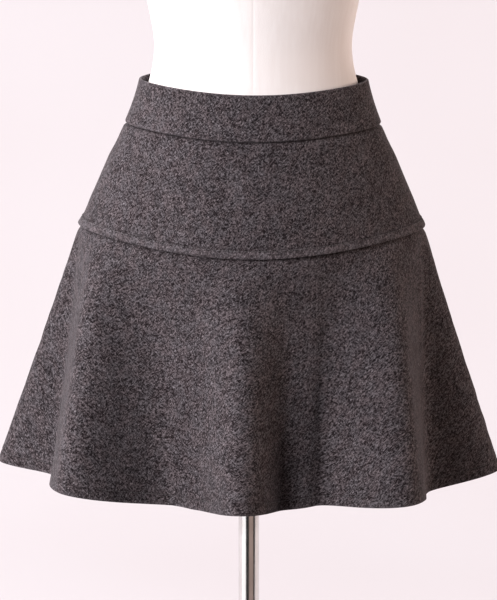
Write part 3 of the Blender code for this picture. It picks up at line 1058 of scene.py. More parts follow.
@dataclass
class Tier:
    """A ring of the skirt: a front piece and two backs, made alike."""

    name: str = ""
    node: str = ""
    rests_on: str = "cover_torso"
    map_row: float = 0.0
    unevenness: float = 0.00035
    cuts: tuple[Cut, ...] = ()
    creases: tuple[Crease, ...] = ()
    # Lines of painted light and shade, handed to each piece.
    wear: tuple[PaintedShading, ...] = ()

    def surface(self, panel: ClothPanel) -> Surface:
        """The shell of one piece."""
        raise NotImplementedError

    def build(self) -> None:
        for cut in self.cuts:
            panel = ClothPanel(
                cut.start,
                cut.end,
                cut.columns,
                (cut.map_shift, self.map_row),
                self.creases,
                self.wear,
                unevenness=self.unevenness,
            )
            piece = make_object(f"wool_{self.name}_{cut.side}", self.surface(panel), WOOL)
            settle(piece, Body.SKIRT, Slot.WOOL, f"{self.node}_{cut.side}")


@dataclass
class Waistband(Tier):
    """The double waistband: a front piece and two back pieces that meet at the zip."""

    name: str = "band"
    node: str = "waistband"
    map_row: float = 0.4
    unevenness: float = 0.00022
    spacing: float = 0.0022
    top_round: float = 0.0014
    low_round: float = 0.0012
    cuts: tuple[Cut, ...] = (
        Cut("front", -90.0, 90.0, 150, 0.0, (0.330, 0.0455), 0.01456455),
        Cut("back_right", 90.0, 180.0, 76, 1.3, (0.161, 0.0455), 0.007105735),
        Cut("back_left", 180.0, 270.0, 76, 2.1, (0.161, 0.0455), 0.007105735),
    )
    # Painted highlights along the folded top and along the lower edge.
    wear: tuple[PaintedShading, ...] = (
        PaintedShading(True, 0.0, 0.0016, 0.09),
        PaintedShading(False, 0.0, 0.0014, 0.05),
    )

    def surface(self, panel: ClothPanel) -> Surface:
        """A shell of constant thickness, its folded top and its lower edge rounded.

        Args:
            panel: the piece.

        Returns:
            Its shell.
        """
        top, low = FORM.band_top, FORM.band_low
        knots = [top, top - 0.0004, top - 0.001, top - 0.002, top - 0.004]
        knots += [low + 0.003, low + 0.0016, low + 0.0008, low + 0.0003, low]
        heights = dense(knots, self.spacing)
        outer = np.full(len(heights), FORM.band_proud)
        outer -= edge_drop(top - heights, self.top_round)
        inner = np.full(len(heights), FORM.band_proud - FORM.band_cloth)
        inner += edge_drop(top - heights, self.top_round)
        return panel.shell([(FORM.upper_face, heights, outer, inner)], self.low_round)


@dataclass
class Yoke(Tier):
    """The hip yoke: front and two backs, with a turned and topstitched lower edge."""

    name: str = "yoke"
    node: str = "yoke"
    map_row: float = 0.9
    spacing: float = 0.0026
    edge_round: float = 0.0008
    stitch_dip: float = 0.0006
    dip_width: float = 0.0014
    stitch_inset: float = 0.0016
    cuts: tuple[Cut, ...] = (
        Cut("front", -90.0, 90.0, 190, 0.1, (0.500, 0.128), 0.05312),
        Cut("back_right", 90.0, 180.0, 96, 1.5, (0.250, 0.128), 0.02656),
        Cut("back_left", 180.0, 270.0, 96, 2.4, (0.250, 0.128), 0.02656),
    )
    creases: tuple[Crease, ...] = (
        Crease(0.962, -62.0, 0.880, -40.0, 0.012, 0.0006),
        Crease(0.955, 30.0, 0.885, 44.0, 0.014, -0.0005),
        Crease(0.950, 72.0, 0.872, 60.0, 0.010, 0.0006),
        Crease(0.958, -12.0, 0.890, -18.0, 0.018, -0.0004),
        Crease(0.960, 120.0, 0.880, 132.0, 0.014, 0.0006),
        Crease(0.952, 158.0, 0.878, 150.0, 0.012, -0.0006),
        Crease(0.958, 214.0, 0.884, 203.0, 0.015, 0.0006),
        Crease(0.948, 245.0, 0.876, 252.0, 0.011, -0.0005),
    )
    # A painted shadow under the band's lower edge, a painted highlight on the turned strip above
    # the lower edge, and painted shade in the topstitching's groove.
    wear: tuple[PaintedShading, ...] = (
        PaintedShading(True, 0.0085, 0.0014, -0.75),
        PaintedShading(False, 0.0036, 0.0036, 0.085),
        PaintedShading(False, 0.0094, 0.0011, -0.35),
    )

    def surface(self, panel: ClothPanel) -> Surface:
        """A shell whose top lies behind the band and whose lower strip is turned under.

        Args:
            panel: the piece.

        Returns:
            Its shell.
        """
        low = FORM.yoke_low
        tucked = FORM.band_proud - FORM.band_cloth - FORM.lap_gap
        strip = low + FORM.strip
        knots = [
            FORM.band_low + FORM.lap,
            FORM.band_low - 0.0004,
            FORM.band_low - 0.0050,
            strip + 0.003,
            strip - 0.003,
            low + 0.0025,
            low + 0.0012,
            low + 0.0006,
            low + 0.0002,
            low,
        ]
        heights = dense(knots, self.spacing)
        near_stitches = np.linspace(strip - 0.0034, strip + 0.0020, 12)
        heights = np.unique(np.concatenate([heights, near_stitches]))[::-1]
        offsets = [
            (FORM.band_low + FORM.lap, tucked),
            (FORM.band_low - 0.0004, tucked),
            (FORM.band_low - 0.0050, 0.0),
            (strip + 0.0012, 0.0),
            (strip - 0.0010, FORM.turned_edge - 0.0008),
            (low, FORM.turned_edge),
        ]
        outer = profile(heights, offsets)
        inner = np.minimum(outer, 0.0) - FORM.cloth
        row = strip - self.stitch_inset
        outer = outer - self.stitch_dip * np.exp(-(((heights - row) / self.dip_width) ** 2))
        return panel.shell([(FORM.upper_face, heights, outer, inner)], self.edge_round)


@dataclass
class Flounce(Tier):
    """The flared lower skirt: a front and two backs in soft folds, their seams on side ridges."""

    name: str = "flounce"
    node: str = "flounce"
    rests_on: str = "wool_yoke_{side}"
    map_row: float = 1.6
    unevenness: float = 0.00045
    spacing: float = 0.0105
    hem_round: float = 0.0014
    hem_dip: float = 0.00045
    dip_width: float = 0.0014
    shade_dip: float = 0.0009
    shade_width: float = 0.0040
    cuts: tuple[Cut, ...] = (
        Cut("front", -91.0, 84.5, 280, 0.2, (0.800, 0.365), 0.180),
        Cut("back_right", 84.5, 180.0, 150, 1.7, (0.424, 0.307), 0.092),
        Cut("back_left", 180.0, 269.0, 150, 2.7, (0.424, 0.307), 0.091),
    )
    creases: tuple[Crease, ...] = (
        Crease(0.05, -46.0, 0.70, -44.0, 0.012, 0.0010),
        Crease(0.02, -20.0, 0.55, -15.0, 0.010, -0.0010),
        Crease(0.10, 2.0, 0.80, 4.0, 0.011, -0.0009),
        Crease(0.04, 24.0, 0.60, 27.0, 0.012, 0.0010),
        Crease(0.15, 38.0, 0.95, 35.0, 0.014, -0.0011),
        Crease(0.05, 68.0, 0.50, 66.0, 0.009, 0.0008),
        Crease(0.06, -66.0, 0.45, -69.0, 0.009, -0.0008),
        Crease(0.05, 98.0, 0.60, 97.0, 0.012, 0.0010),
        Crease(0.10, 116.0, 0.75, 119.0, 0.013, -0.0010),
        Crease(0.03, 140.0, 0.55, 143.0, 0.011, 0.0010),
        Crease(0.12, 166.0, 0.85, 169.0, 0.012, -0.0009),
        Crease(0.05, 192.0, 0.65, 190.0, 0.012, 0.0010),
        Crease(0.08, 217.0, 0.60, 219.0, 0.011, -0.0011),
        Crease(0.04, 238.0, 0.80, 240.0, 0.013, 0.0010),
        Crease(0.10, 259.0, 0.55, 258.0, 0.010, -0.0008),
        Crease(-0.10, -52.0, 1.28, -49.0, 0.020, 0.0062),
        Crease(-0.10, -38.0, 1.28, -36.0, 0.021, -0.0064),
        Crease(0.00, -24.0, 1.30, -25.0, 0.017, -0.0044),
        Crease(-0.05, -3.0, 1.35, -3.0, 0.018, 0.0050),
        Crease(0.00, 14.0, 1.35, 16.0, 0.022, -0.0034),
        Crease(-0.10, 28.0, 1.30, 29.0, 0.020, -0.0070),
        Crease(-0.10, 46.0, 1.30, 41.0, 0.021, 0.0074),
        Crease(0.05, 110.0, 1.80, 108.0, 0.018, -0.0036),
        Crease(0.00, 127.0, 1.80, 125.0, 0.021, 0.0042),
        Crease(0.05, 149.0, 1.80, 151.0, 0.019, -0.0040),
        Crease(0.00, 178.0, 1.80, 176.0, 0.016, 0.0030),
        Crease(0.00, 201.0, 1.80, 203.0, 0.018, -0.0040),
        Crease(0.05, 226.0, 1.80, 228.0, 0.021, 0.0040),
        Crease(0.00, 247.0, 1.80, 249.0, 0.019, -0.0034),
    )
    # A painted shadow under the yoke's edge, a painted highlight along the hem, and painted shade
    # in the hem stitching's groove.
    wear: tuple[PaintedShading, ...] = (
        PaintedShading(True, 0.0084, 0.0017, -0.85),
        PaintedShading(False, 0.0, 0.0014, 0.08),
        PaintedShading(False, 0.0110, 0.0010, -0.30),
    )

    def surface(self, panel: ClothPanel) -> Surface:
        """A shell with a strip behind the yoke, straight falls, and a hem turned up and sewn.

        Args:
            panel: the piece.

        Returns:
            Its shell.
        """
        top = np.linspace(FORM.yoke_low + FORM.lap, FORM.yoke_low + 0.0010, 5)
        drop = FORM.yoke_low - FORM.hem
        sewn = 1 - FORM.hem_turn_up / drop
        knots = [0.006, 0.02, 0.05, sewn - 0.02, sewn + 0.02, 1 - 0.003 / drop]
        near_hem = 1 - np.array([0.0018, 0.0010, 0.0005, 0.0002, 0.0]) / drop
        near_stitches = sewn + np.linspace(-0.009, 0.009, 9)
        falls = np.concatenate([dense(knots, self.spacing), near_hem, near_stitches])
        falls = np.unique(falls)
        outer = -self.hem_dip * np.exp(-(((falls - sewn) * drop / self.dip_width) ** 2))
        outer -= self.shade_dip * np.exp(-((falls * drop / self.shade_width) ** 2))
        turned = eased((falls - sewn + 0.008) / 0.016)
        inner = -FORM.cloth - FORM.hem_extra * turned
        strips = [
            (FORM.tucked_face, top, np.zeros(5), np.full(5, -FORM.cloth)),
            (FORM.flounce_face, falls, outer, inner),
        ]
        return panel.shell(strips, self.hem_round)


@dataclass
class Stitches:
    """Rows of sewing: a short thread lies on the cloth, dips in, and the next one follows."""

    pitch: float = 0.0034
    length: float = 0.0025
    radius: float = 0.00026
    sides: int = 6
    reach: tuple[float, ...] = (-1.0, -0.72, -0.25, 0.25, 0.72, 1.0)
    rise: tuple[float, ...] = (-1.4, 0.15, 0.55, 0.55, 0.15, -1.4)
    fullness: tuple[float, ...] = (0.5, 0.9, 1.0, 1.0, 0.9, 0.5)
    samples: int = 1500

    def row(self, face: Face, level: float, start: float, end: float, offset: float) -> Surface:
        """Stitches along a level of a face, between two angles in degrees.

        Args:
            face: the face that they lie on.
            level: its level.
            start: angle where the row starts.
            end: angle where it ends.
            offset: how far the cloth's surface lies from the face there.

        Returns:
            All the stitches as one surface.
        """
        angles = np.radians(np.linspace(start, end, self.samples))
        levels = np.full_like(angles, level)
        path = moved_out(face, levels, angles, np.full_like(angles, offset))
        return self.along(path, outward(face, levels, angles))

    def along(self, path: Array, normal: Array) -> Surface:
        """Stitches along a path of points with their normals, a pitch apart.

        Args:
            path: points of the row.
            normal: the cloth's normals there.

        Returns:
            All the stitches as one surface.
        """
        run = np.concatenate([[0], np.cumsum(np.linalg.norm(np.diff(path, axis=0), axis=1))])
        count = int((run[-1] - self.pitch) / self.pitch)
        at = (run[-1] - count * self.pitch) / 2 + self.pitch * (np.arange(count) + 0.5)
        centre, up, tangent = (
            np.stack([np.interp(at, run, column) for column in columns], -1)
            for columns in (path.T, normal.T, [np.gradient(column, run) for column in path.T])
        )
        tangent /= np.linalg.norm(tangent, axis=1, keepdims=True)
        side = np.cross(tangent, up)
        turn = np.linspace(0, 2 * np.pi, self.sides, endpoint=False)
        reach = np.array(self.reach)[:, None] * self.length / 2
        thick = self.radius * np.array(self.fullness)[:, None]
        lift = np.array(self.rise)[:, None] * self.radius + thick * np.sin(turn)
        ahead = np.broadcast_to(reach, lift.shape)
        beside = thick * np.cos(turn)
        points = (
            centre[:, None, None]
            + tangent[:, None, None] * ahead[..., None]
            + side[:, None, None] * beside[..., None]
            + up[:, None, None] * lift[..., None]
        )
        rings = len(self.reach)
        each = rings * self.sides
        first = (np.arange(count) * each)[:, None, None]
        quads = (grid_quads(rings, self.sides, wrap=True)[None] + first).reshape(-1, 4)
        ring = np.arange(self.sides)
        ends = np.stack([ring[::-1], ring + each - self.sides])[None] + first
        return Surface(points.reshape(-1, 3), [quads, ends.reshape(-1, self.sides)])


@dataclass
class Sewing:
    """The rows of stitching that show: one above the yoke's edge and one above the hem."""

    stitches: Stitches = field(default_factory=Stitches)
    yoke_inset: float = 0.0016
    yoke_margin: float = 0.4
    yoke_lift: float = 0.0009
    hem_margin: float = 0.3
    hem_lift: float = -0.0003

    def build(self) -> None:
        """Builds a piece of thread for each sewn line of each panel."""
        strip = FORM.yoke_low + FORM.strip - self.yoke_inset
        fall = 1 - FORM.hem_turn_up / (FORM.yoke_low - FORM.hem)
        for name, tier, face, level, margin, lift in (
            ("yoke", Yoke, FORM.upper_face, strip, self.yoke_margin, self.yoke_lift),
            ("hem", Flounce, FORM.flounce_face, fall, self.hem_margin, self.hem_lift),
        ):
            for cut in tier.cuts:
                row = self.stitches.row(face, level, cut.start + margin, cut.end - margin, lift)
                thread = make_object(f"thread_{name}_{cut.side}", row, THREAD)
                settle(thread, Body.SKIRT, Slot.WOOL)


# The form and its stand


@dataclass
class DressForm:
    """The covered torso: one smooth closed form with soft seams down its cover."""

    rest_gap: float = 0.0010
    lean_allowance: float = 1.08
    shift: float = 0.0045
    seam_depth: float = 0.00022
    seam_width: float = 0.0010
    seam_angles: tuple[float, ...] = (0.0, 90.0, 180.0, 270.0)
    seam_columns: tuple[float, ...] = (-2.4, -1.2, -0.6, -0.3, 0.0, 0.3, 0.6, 1.2, 2.4)
    columns: int = 144
    rows: int = 210
    end_round: float = 0.0025
    below: tuple[tuple[float, float, float, float, float], ...] = (
        (0.7300, 0.1200, 0.0810, 0.0880, 0.0),
        (0.7360, 0.1310, 0.0890, 0.0970, 0.0),
        (0.7550, 0.1390, 0.0940, 0.1040, 0.0),
        (0.8000, 0.1465, 0.0985, 0.1100, 0.0),
        (0.8550, 0.1500, 0.1015, 0.1120, 0.0),
        (0.9100, 0.1440, 0.1000, 0.1040, 0.08),
        (0.9450, 0.1350, 0.0970, 0.0970, 0.14),
    )
    above: tuple[tuple[float, float, float, float, float], ...] = (
        (1.0180, 0.1068, 0.0770, 0.0760, 0.10),
        (1.0470, 0.1018, 0.0750, 0.0730, 0.04),
        (1.0990, 0.1085, 0.0830, 0.0760, 0.0),
        (1.1550, 0.1200, 0.0980, 0.0820, 0.0),
        (1.2100, 0.1310, 0.1150, 0.0880, 0.0),
        (1.2600, 0.1385, 0.1080, 0.0920, 0.0),
        (1.3100, 0.1490, 0.0880, 0.0920, 0.0),
        (1.3480, 0.1580, 0.0750, 0.0850, 0.0),
        (1.3780, 0.1540, 0.0660, 0.0740, 0.0),
        (1.3980, 0.1330, 0.0590, 0.0650, 0.0),
        (1.4120, 0.1020, 0.0540, 0.0590, 0.0),
        (1.4260, 0.0740, 0.0510, 0.0550, 0.0),
        (1.4420, 0.0580, 0.0495, 0.0520, 0.0),
        (1.4660, 0.0525, 0.0485, 0.0500, 0.0),
        (1.4900, 0.0515, 0.0480, 0.0490, 0.0),
    )

    def table(self) -> tuple[Section, ...]:
        """The torso's sections, with the row where the skirt rests worked out from the yoke.

        Returns:
            The sections, going up.
        """
        rest = smooth_rows(FORM.upper, np.array(FORM.band_low + FORM.lap / 4))
        stack = FORM.band_cloth - FORM.band_proud + FORM.lap_gap + FORM.cloth + self.rest_gap
        inset = stack * self.lean_allowance
        widths = (rest.half_width - inset, rest.front - inset, rest.back - inset)
        row = Section(rest.height, *widths, rest.shift, rest.drop, rest.rise, rest.lens)
        parts = []
        for rows in (self.below, self.above):
            parts.append([Section(*r[:4], self.shift, 0.0, 0.0, r[4]) for r in rows])
        return (*parts[0], Section(*map(float, row)), *parts[1])

    def build(self) -> None:
        """Rings from the neck down, drawn in by a shallow groove at each seam of the cover."""
        table = self.table()
        low, high = table[0].height, table[-1].height
        heights = np.linspace(high, low, self.rows)
        even = np.linspace(0, 360, self.columns, endpoint=False)
        close = np.array(self.seam_columns)
        seams = np.concatenate([seam + close for seam in self.seam_angles]) % 360
        angles = np.radians(np.unique(np.round(np.concatenate([even, seams]), 3)))
        level, angle = np.meshgrid(heights, angles, indexing="ij")
        points = lens_points(smooth_rows(table, level), angle)
        centre = np.array([self.shift, 0.0, 0.0])
        out = (points - centre) * np.array([1.0, 1.0, 0.0])
        radius = np.linalg.norm(out, axis=-1, keepdims=True)
        groove = np.zeros(angle.shape)
        for seam in self.seam_angles:
            away = (angle - math.radians(seam) + np.pi) % (2 * np.pi) - np.pi
            groove += np.exp(-((away * radius[..., 0] / self.seam_width) ** 2))
        drop = edge_drop(level - low, self.end_round) + edge_drop(high - level, self.end_round)
        points -= out / radius * (groove * self.seam_depth + drop)[..., None]
        piece = make_object("cover_torso", closed_tube(points), COVER)
        settle(piece, Body.SKIRT, Slot.COVER, "form_torso")


class Corner(NamedTuple):
    """A corner of a turned profile: its radius from the axis, its height, and its rounding."""

    radius: float
    height: float
    rounding: float


def rounded_profile(corners: Sequence[Corner], steps: int = 6) -> Array:
    """A profile whose corners are eased by arcs: quadratic curves between points on each side.

    Args:
        corners: the profile's corners.
        steps: points along each arc, less one.

    Returns:
        Points of radius and height.
    """
    spots = np.array([(c.radius, c.height) for c in corners])
    line = []
    for i, corner in enumerate(corners):
        if corner.rounding == 0 or i in (0, len(corners) - 1):
            line.append(spots[i][None])
            continue
        before, after = spots[i - 1] - spots[i], spots[i + 1] - spots[i]
        start = spots[i] + before / np.linalg.norm(before) * corner.rounding
        end = spots[i] + after / np.linalg.norm(after) * corner.rounding
        t = np.linspace(0, 1, steps + 1)[:, None]
        line.append((1 - t) ** 2 * start + 2 * t * (1 - t) * spots[i] + t**2 * end)
    return np.concatenate(line)


def turned(
    corners: Sequence[Corner],
    segments: int,
    centre: tuple[float, float] = (0.0, 0.0),
    stretch: tuple[float, float] = (1.0, 1.0),
) -> Surface:
    """A turned solid: a rounded profile, listed downwards from the axis, carried round it.

    Args:
        corners: the profile's corners.
        segments: points round the axis.
        centre: where the axis stands.
        stretch: scale of the radius along X and Y.

    Returns:
        The solid.
    """
    line = rounded_profile(corners)
    angles = np.linspace(0, 2 * np.pi, segments, endpoint=False)
    radius = line[:, :1]
    x = centre[0] + stretch[0] * radius * np.sin(angles)
    y = centre[1] - stretch[1] * radius * np.cos(angles)
    z = line[:, 1:] * np.ones(segments)
    return closed_tube(np.stack([x, y, z], axis=-1))


@dataclass
class Stand:
    """The neck cap, the tube under the torso, and the round base with its boss."""

    pole_radius: float = 0.0110
    pole_low: float = 0.02835
    pole_high: float = 0.72965
    base_radius: float = 0.1750
    boss_radius: float = 0.0240
    boss_top: float = 0.0280
    cap_low: float = 1.49035
    cap_height: float = 0.0080
    cap_size: tuple[float, float] = (0.0530, 0.0500)
    cap_centre: tuple[float, float] = (0.0045, 0.0005)

    def build(self) -> None:
        """Builds the cap, the pole and the base."""
        for name, surface in (
            ("neck_cap", turned(self.cap_corners(), 96, self.cap_centre, self.cap_size)),
            ("pole", turned(self.pole_corners(), 48)),
            ("base", turned(self.base_corners(), 128)),
        ):
            piece = make_object(f"steel_{name}", surface, STEEL)
            settle(piece, Body.SKIRT, Slot.STEEL, f"form_{name}")

    def cap_corners(self) -> tuple[Corner, ...]:
        """The cap's profile, its radii as shares of its half sizes.

        Returns:
            The corners, going down.
        """
        top = self.cap_low + self.cap_height
        return (
            Corner(0.30, top, 0.0),
            Corner(0.955, top, 0.02),
            Corner(1.0, top - 0.0020, 0.002),
            Corner(1.0, self.cap_low + 0.0012, 0.0006),
            Corner(0.985, self.cap_low, 0.0),
            Corner(0.40, self.cap_low, 0.0),
        )

    def pole_corners(self) -> tuple[Corner, ...]:
        """The tube's profile, with its ends eased.

        Returns:
            The corners, going down.
        """
        r, high, low = self.pole_radius, self.pole_high, self.pole_low
        return (
            Corner(r * 0.5, high, 0.0),
            Corner(r, high, 0.0008),
            Corner(r, (high + low) / 2, 0.0),
            Corner(r, low, 0.0006),
            Corner(r * 0.5, low, 0.0),
        )

    def base_corners(self) -> tuple[Corner, ...]:
        """The base's profile: the boss, a fillet, a low dome, a rounded rim and a flat foot.

        Returns:
            The corners, going down.
        """
        boss, top, rim = self.boss_radius, self.boss_top, self.base_radius
        return (
            Corner(0.012, top, 0.0),
            Corner(boss - 0.0055, top, 0.0012),
            Corner(boss - 0.0030, top - 0.0020, 0.0012),
            Corner(boss, 0.0140, 0.0040),
            Corner(boss + 0.0060, 0.0100, 0.0030),
            Corner(rim - 0.0016, 0.0060, 0.0012),
            Corner(rim, 0.0046, 0.0010),
            Corner(rim, 0.0010, 0.0006),
            Corner(rim - 0.0008, 0.0, 0.0),
            Corner(rim * 0.5, 0.0, 0.0),
        )


# The zip


@dataclass
class Zip:
    """The slider at the top of the centre back, and the tab that swings on its bail."""

    height: float = 1.0010
    plate_width: float = 0.0064
    plate_length: float = 0.0110
    plate_thick: float = 0.0014
    bail_half: float = 0.0036
    bail_rise: float = 0.0034
    bail_wire: float = 0.0006
    axis_rise: float = 0.0015
    tab_thick: float = 0.0010
    tab_length: float = 0.0190
    tab_tilt: float = -6.0
    tab_width: float = 0.0058
    tab_foot: float = 0.0068
    tab_bar: float = 0.0012
    hole_length: float = 0.0054
    bevel: float = 0.00022
    plate_points: int = 64
    plate_corner: float = 3.4
    plate_waist: float = 0.14
    tab_points: int = 120
    hole_corner: float = 5.0
    bail_points: int = 29
    wire_sides: int = 14
    wire_spread: float = 1.15
    foot_depth: float = 0.0005

    def frame(self) -> Matrix:
        """The plate's place on the band: x across, y out of the cloth, z up its face.

        Returns:
            The frame's matrix.
        """
        height, angle = np.array(self.height), np.array(math.pi)
        normal = Vector(outward(FORM.upper_face, height, angle).tolist())
        lift = np.array(FORM.band_proud + FORM.lap_gap)
        place = Vector(moved_out(FORM.upper_face, height, angle, lift).tolist())
        up_the_face = Vector((1, 0, 0)).cross(normal).normalized()
        across = normal.cross(up_the_face)
        turn = Matrix((across, normal, up_the_face)).transposed().to_4x4()
        return Matrix.Translation(place) @ turn

    def placed(self, surface: Surface, frame: Matrix) -> Surface:
        """A surface moved from a frame's own axes to where the frame is.

        Args:
            surface: the surface in the frame's axes.
            frame: the frame.

        Returns:
            The moved surface.
        """
        turn = np.array(frame.to_3x3())
        points = surface.points @ turn.T + np.array(frame.translation)
        return Surface(points, surface.faces)

    def plate(self) -> Surface:
        """The slider's body: a rounded outline, waisted below, in bevelled layers.

        Returns:
            Its surface, in the frame's axes.
        """
        turn = np.linspace(0, 2 * np.pi, self.plate_points, endpoint=False)
        power = 2 / self.plate_corner
        x = np.sign(np.cos(turn)) * np.abs(np.cos(turn)) ** power * self.plate_width / 2
        z = np.sign(np.sin(turn)) * np.abs(np.sin(turn)) ** power * self.plate_length / 2
        x *= 1 - self.plate_waist * eased(-z / (self.plate_length / 2))
        layers = []
        for y, inset in (
            (self.plate_thick, 0.00050),
            (self.plate_thick - 0.00012, 0.00022),
            (self.plate_thick - 0.00035, 0.00005),
            (self.plate_thick - 0.00060, 0.0),
            (0.00025, 0.0),
            (0.00008, 0.00008),
            (0.0, 0.00025),
        ):
            share_x = 1 - inset / (self.plate_width / 2)
            share_z = 1 - inset / (self.plate_length / 2)
            layers.append(np.stack([x * share_x, np.full_like(x, y), z * share_z], -1))
        return closed_tube(np.array(layers)[:, ::-1])

    def bail(self) -> Surface:
        """The arch: a round wire along half an ellipse, its feet sunk in the plate.

        Returns:
            Its surface, in the frame's axes.
        """
        turn = np.linspace(0, np.pi, self.bail_points)
        half = self.bail_half
        foot = [-self.foot_depth]
        rise = np.concatenate([foot, self.bail_rise * np.sin(turn), foot])
        along = np.concatenate([[-half], -half * np.cos(turn), [half]])
        path = np.stack([rise, along], -1)
        ahead = np.gradient(path, axis=0)
        ahead /= np.linalg.norm(ahead, axis=1, keepdims=True)
        round_it = np.linspace(0, 2 * np.pi, self.wire_sides, endpoint=False)
        across = self.bail_wire * self.wire_spread * np.cos(round_it)
        across = np.broadcast_to(across, (len(path), self.wire_sides))
        away = self.bail_wire * np.sin(round_it)
        y = path[:, :1] + away * -ahead[:, 1:] + self.plate_thick
        z = path[:, 1:] + away * ahead[:, :1]
        return closed_tube(np.stack([across, y, z], -1))

    def tab(self) -> Surface:
        """The pull tab: an eyelet and a waisted plate, one bevelled ring round its hole.

        Returns:
            Its surface, in the frame's axes.
        """
        neck, foot, length = self.tab_width / 2, self.tab_foot / 2, self.tab_length
        bar = self.tab_bar / 2
        right = np.array(
            [
                (0.0, bar),
                (neck * 0.55, bar),
                (neck * 0.86, bar - 0.0002),
                (neck, bar - 0.0010),
                (neck, -self.hole_length * 0.6),
                (neck * 0.97, -self.hole_length - 0.0015),
                (foot * 0.93, -0.55 * length),
                (foot, -0.75 * length),
                (foot * 0.97, -0.86 * length),
                (foot * 0.80, -0.94 * length),
                (foot * 0.45, -0.985 * length),
                (0.0, -length),
            ]
        )
        outline = np.concatenate([right, right[-2:0:-1] * [-1, 1]])
        run = np.linalg.norm(np.diff(outline, axis=0, append=outline[:1]), axis=1)
        at = np.concatenate([[0], np.cumsum(run)])
        share = np.linspace(0, at[-1], self.tab_points, endpoint=False)
        loop = np.concatenate([outline, outline[:1]])
        outer = np.stack([np.interp(share, at, loop[:, i]) for i in range(2)], -1)
        middle = np.array([0.0, -bar - self.hole_length / 2])
        facing = np.arctan2(outer[:, 0] - middle[0], outer[:, 1] - middle[1])
        half = np.array([neck - self.tab_bar, self.hole_length / 2])
        power = 2 / self.hole_corner
        hole = np.stack([np.sin(facing), np.cos(facing)], -1)
        hole = np.sign(hole) * np.abs(hole) ** power * half + middle
        out = outer - hole
        out /= np.linalg.norm(out, axis=1, keepdims=True)
        thick, bevel = self.tab_thick / 2, self.bevel
        edge = [(1.0, thick), (0.3, thick - bevel * 0.3), (0.0, thick - bevel)]
        edge += [(inset, -y) for inset, y in reversed(edge)]
        rings = []
        for base, way, steps in ((outer, 1, edge), (hole, -1, edge[::-1])):
            for inset, y in steps:
                flat = base - out * (bevel * inset * way)
                rings.append(np.stack([flat[:, 0], np.full(len(flat), y), flat[:, 1]], -1))
        points = np.array(rings).reshape(-1, 3)
        quads = grid_quads(len(rings) + 1, len(outer), wrap=True) % len(points)
        return Surface(points, [quads])

    def build(self) -> None:
        """Builds the slider on the skirt's body and the tab on its own."""
        frame_here = self.frame()
        whole = joined([self.plate(), self.bail()])
        slider = make_object("metal_slider", self.placed(whole, frame_here), ZIP_METAL)
        settle(slider, Body.SKIRT, Slot.ZIP, "zip_slider")
        hinge = frame_here @ Matrix.Translation((0.0, self.plate_thick + self.axis_rise, 0.0))
        hinge = hinge @ Matrix.Rotation(math.radians(self.tab_tilt), 4, "X")
        tab = make_object("metal_pull_tab", self.placed(self.tab(), hinge), ZIP_METAL)
        settle(tab, Body.TAB, Slot.ZIP, "zip_pull_tab")


# The studio


@dataclass(frozen=True)
class StagePaper(Finish):
    """Pale pink-white studio paper."""

    name: str = "stage_paper"
    pale: Triple = (0.405, 0.380, 0.392)
    soft: Triple = (0.395, 0.366, 0.376)
    glow: float = 0.95

    def build(self) -> bpy.types.Material:
        """Matt paper with very wide, faint clouds, lit through from behind.

        Returns:
            The material.
        """
        fixed = {"Roughness": 0.9, "Specular IOR Level": 0.1, "Emission Strength": self.glow}
        graph = Graph(self.name, fixed)
        place = graph.place(own_map=False)
        cloud = graph.noise(place, (0.8, 0.8, 0.8))
        tone = graph.mix(cloud.between(0.3, 0.7), self.pale, self.soft)
        graph.feed("Base Color", tone)
        graph.feed("Emission Color", tone)
        return graph.material


class Lamp(NamedTuple):
    """A square light: where its middle stands, what it faces, its side in metres, its watts."""

    name: str
    spot: Triple
    aim: Triple
    size: float
    power: float
    colour: Triple


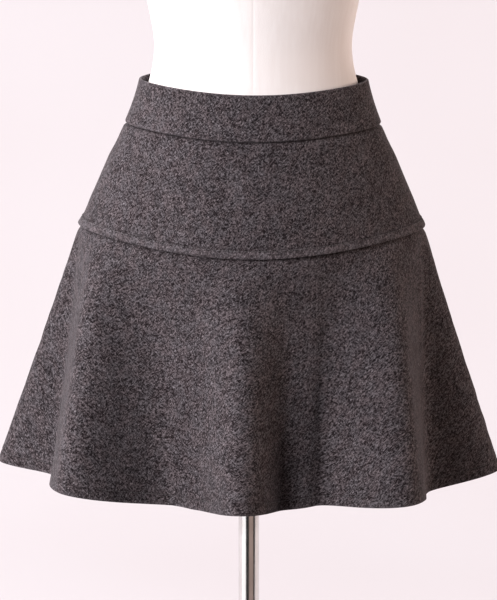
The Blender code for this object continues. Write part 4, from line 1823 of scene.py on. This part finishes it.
@dataclass
class Studio:
    """A paper sweep, two broad cool lights, a warm one, three small cards, and a camera."""

    camera_spot: Triple = (-0.0003, -3.2, 1.581)
    camera_aim: Triple = (-0.0003, 0.0, 0.782)
    lens: float = 188.46
    light_aim: Triple = (0.0, 0.0, 0.85)
    light_distance: float = 3.0
    sensor: float = 36.0
    half_width: float = 2.2
    front: float = -0.45
    wall: float = 2.6
    bend: float = 1.2
    wall_height: float = 5.0
    drop: float = 0.0005

    def build(self) -> None:
        """Builds the sweep, the lights, the world and the camera."""
        self.sweep()
        cool, warm, blush = (1.0, 0.965, 0.985), (1.0, 0.80, 0.70), (1.0, 0.72, 0.64)
        aim, knees = self.light_aim, (0.0, 0.0, 0.30)
        for lamp in (
            Lamp("key_light", self.around(-43.0, 21.0), aim, 1.5, 145.0, cool),
            Lamp("window_light", self.around(-108.0, 34.0), aim, 1.4, 105.0, cool),
            Lamp("warm_light", self.around(92.0, 12.0), aim, 1.2, 62.0, warm),
            Lamp("low_card_left", (-0.93, -0.66, 0.16), knees, 0.9, 3.6, cool),
            Lamp("low_card_right", (0.50, -1.00, 0.12), knees, 1.0, 1.10, blush),
            Lamp("wall_light", (1.9, 1.5, 1.5), (0.75, 2.6, 0.9), 0.8, 10.0, cool),
        ):
            self.hang(lamp)
        self.world((1.0, 0.955, 0.965), 0.02)
        self.camera()

    def sweep(self) -> None:
        """Floor, quarter-circle bend and wall as one sheet, its profile carried along X."""
        turn = np.linspace(0, np.pi / 2, 25)
        bend = self.wall - self.bend + self.bend * np.sin(turn)
        y = np.concatenate([[self.front], bend, [self.wall]])
        z = np.concatenate([[0.0], self.bend * (1 - np.cos(turn)), [self.wall_height]]) - self.drop
        x = np.linspace(-self.half_width, self.half_width, 13)
        points = np.stack(np.broadcast_arrays(x[None, :], y[:, None], z[:, None]), -1)
        quads = grid_quads(len(y), len(x))[:, ::-1]
        piece = make_object("stage_sweep", Surface(points.reshape(-1, 3), [quads]), PAPER)

    def around(self, turn: float, lift: float) -> Triple:
        """A place at the lights' distance from the skirt.

        Args:
            turn: angle round the stand from the front, in degrees, positive towards +X.
            lift: angle above the level, in degrees.

        Returns:
            The place.
        """
        turn, lift = math.radians(turn), math.radians(lift)
        level = self.light_distance * math.cos(lift)
        away = Vector((math.sin(turn) * level, -math.cos(turn) * level, 0.0))
        away.z = self.light_distance * math.sin(lift)
        return tuple(Vector(self.light_aim) + away)

    def hang(self, lamp: Lamp) -> None:
        """Puts a square area light in its place and turns it to what it faces.

        Args:
            lamp: the light.
        """
        light = bpy.data.lights.new(lamp.name, "AREA")
        light.size, light.energy, light.color = lamp.size, lamp.power, lamp.colour
        made = bpy.data.objects.new(lamp.name, light)
        made.location = lamp.spot
        way = Vector(lamp.aim) - Vector(lamp.spot)
        made.rotation_euler = way.to_track_quat("-Z", "Y").to_euler()
        bpy.context.scene.collection.objects.link(made)

    def world(self, colour: Triple, strength: float) -> None:
        """An even pale light from all round.

        Args:
            colour: the light's colour.
            strength: its strength.
        """
        world = bpy.data.worlds.new("studio_air")
        world.use_nodes = True
        background = world.node_tree.nodes["Background"]
        background.inputs["Color"].default_value = (*colour, 1.0)
        background.inputs["Strength"].default_value = strength
        bpy.context.scene.world = world
        bpy.context.scene.view_settings.view_transform = "Standard"
        bpy.context.scene.view_settings.look = "None"

    def camera(self) -> None:
        """A long lens in front, a little above, as in the photograph."""
        data = bpy.data.cameras.new("camera")
        data.sensor_fit = "VERTICAL"
        data.sensor_height = self.sensor
        data.lens = self.lens
        data.clip_end = 60.0
        made = bpy.data.objects.new("camera", data)
        made.location = self.camera_spot
        aim = Vector(self.camera_aim) - Vector(self.camera_spot)
        made.rotation_euler = aim.to_track_quat("-Z", "Y").to_euler()
        bpy.context.scene.collection.objects.link(made)
        bpy.context.scene.camera = made


WOOL = FeltedWool()
THREAD = SewingThread()
COVER = JerseyCover()
STEEL = PolishedSteel()
ZIP_METAL = DarkZipMetal()
PAPER = StagePaper()


def main() -> None:
    """Builds the form, the skirt, its sewing, the zip and the studio."""
    logging.basicConfig(level=logging.INFO, format="%(name)s %(message)s")
    DressForm().build()
    Stand().build()
    Waistband().build()
    Yoke().build()
    Flounce().build()
    Sewing().build()
    Zip().build()
    Studio().build()


if __name__ == "__main__":
    main()
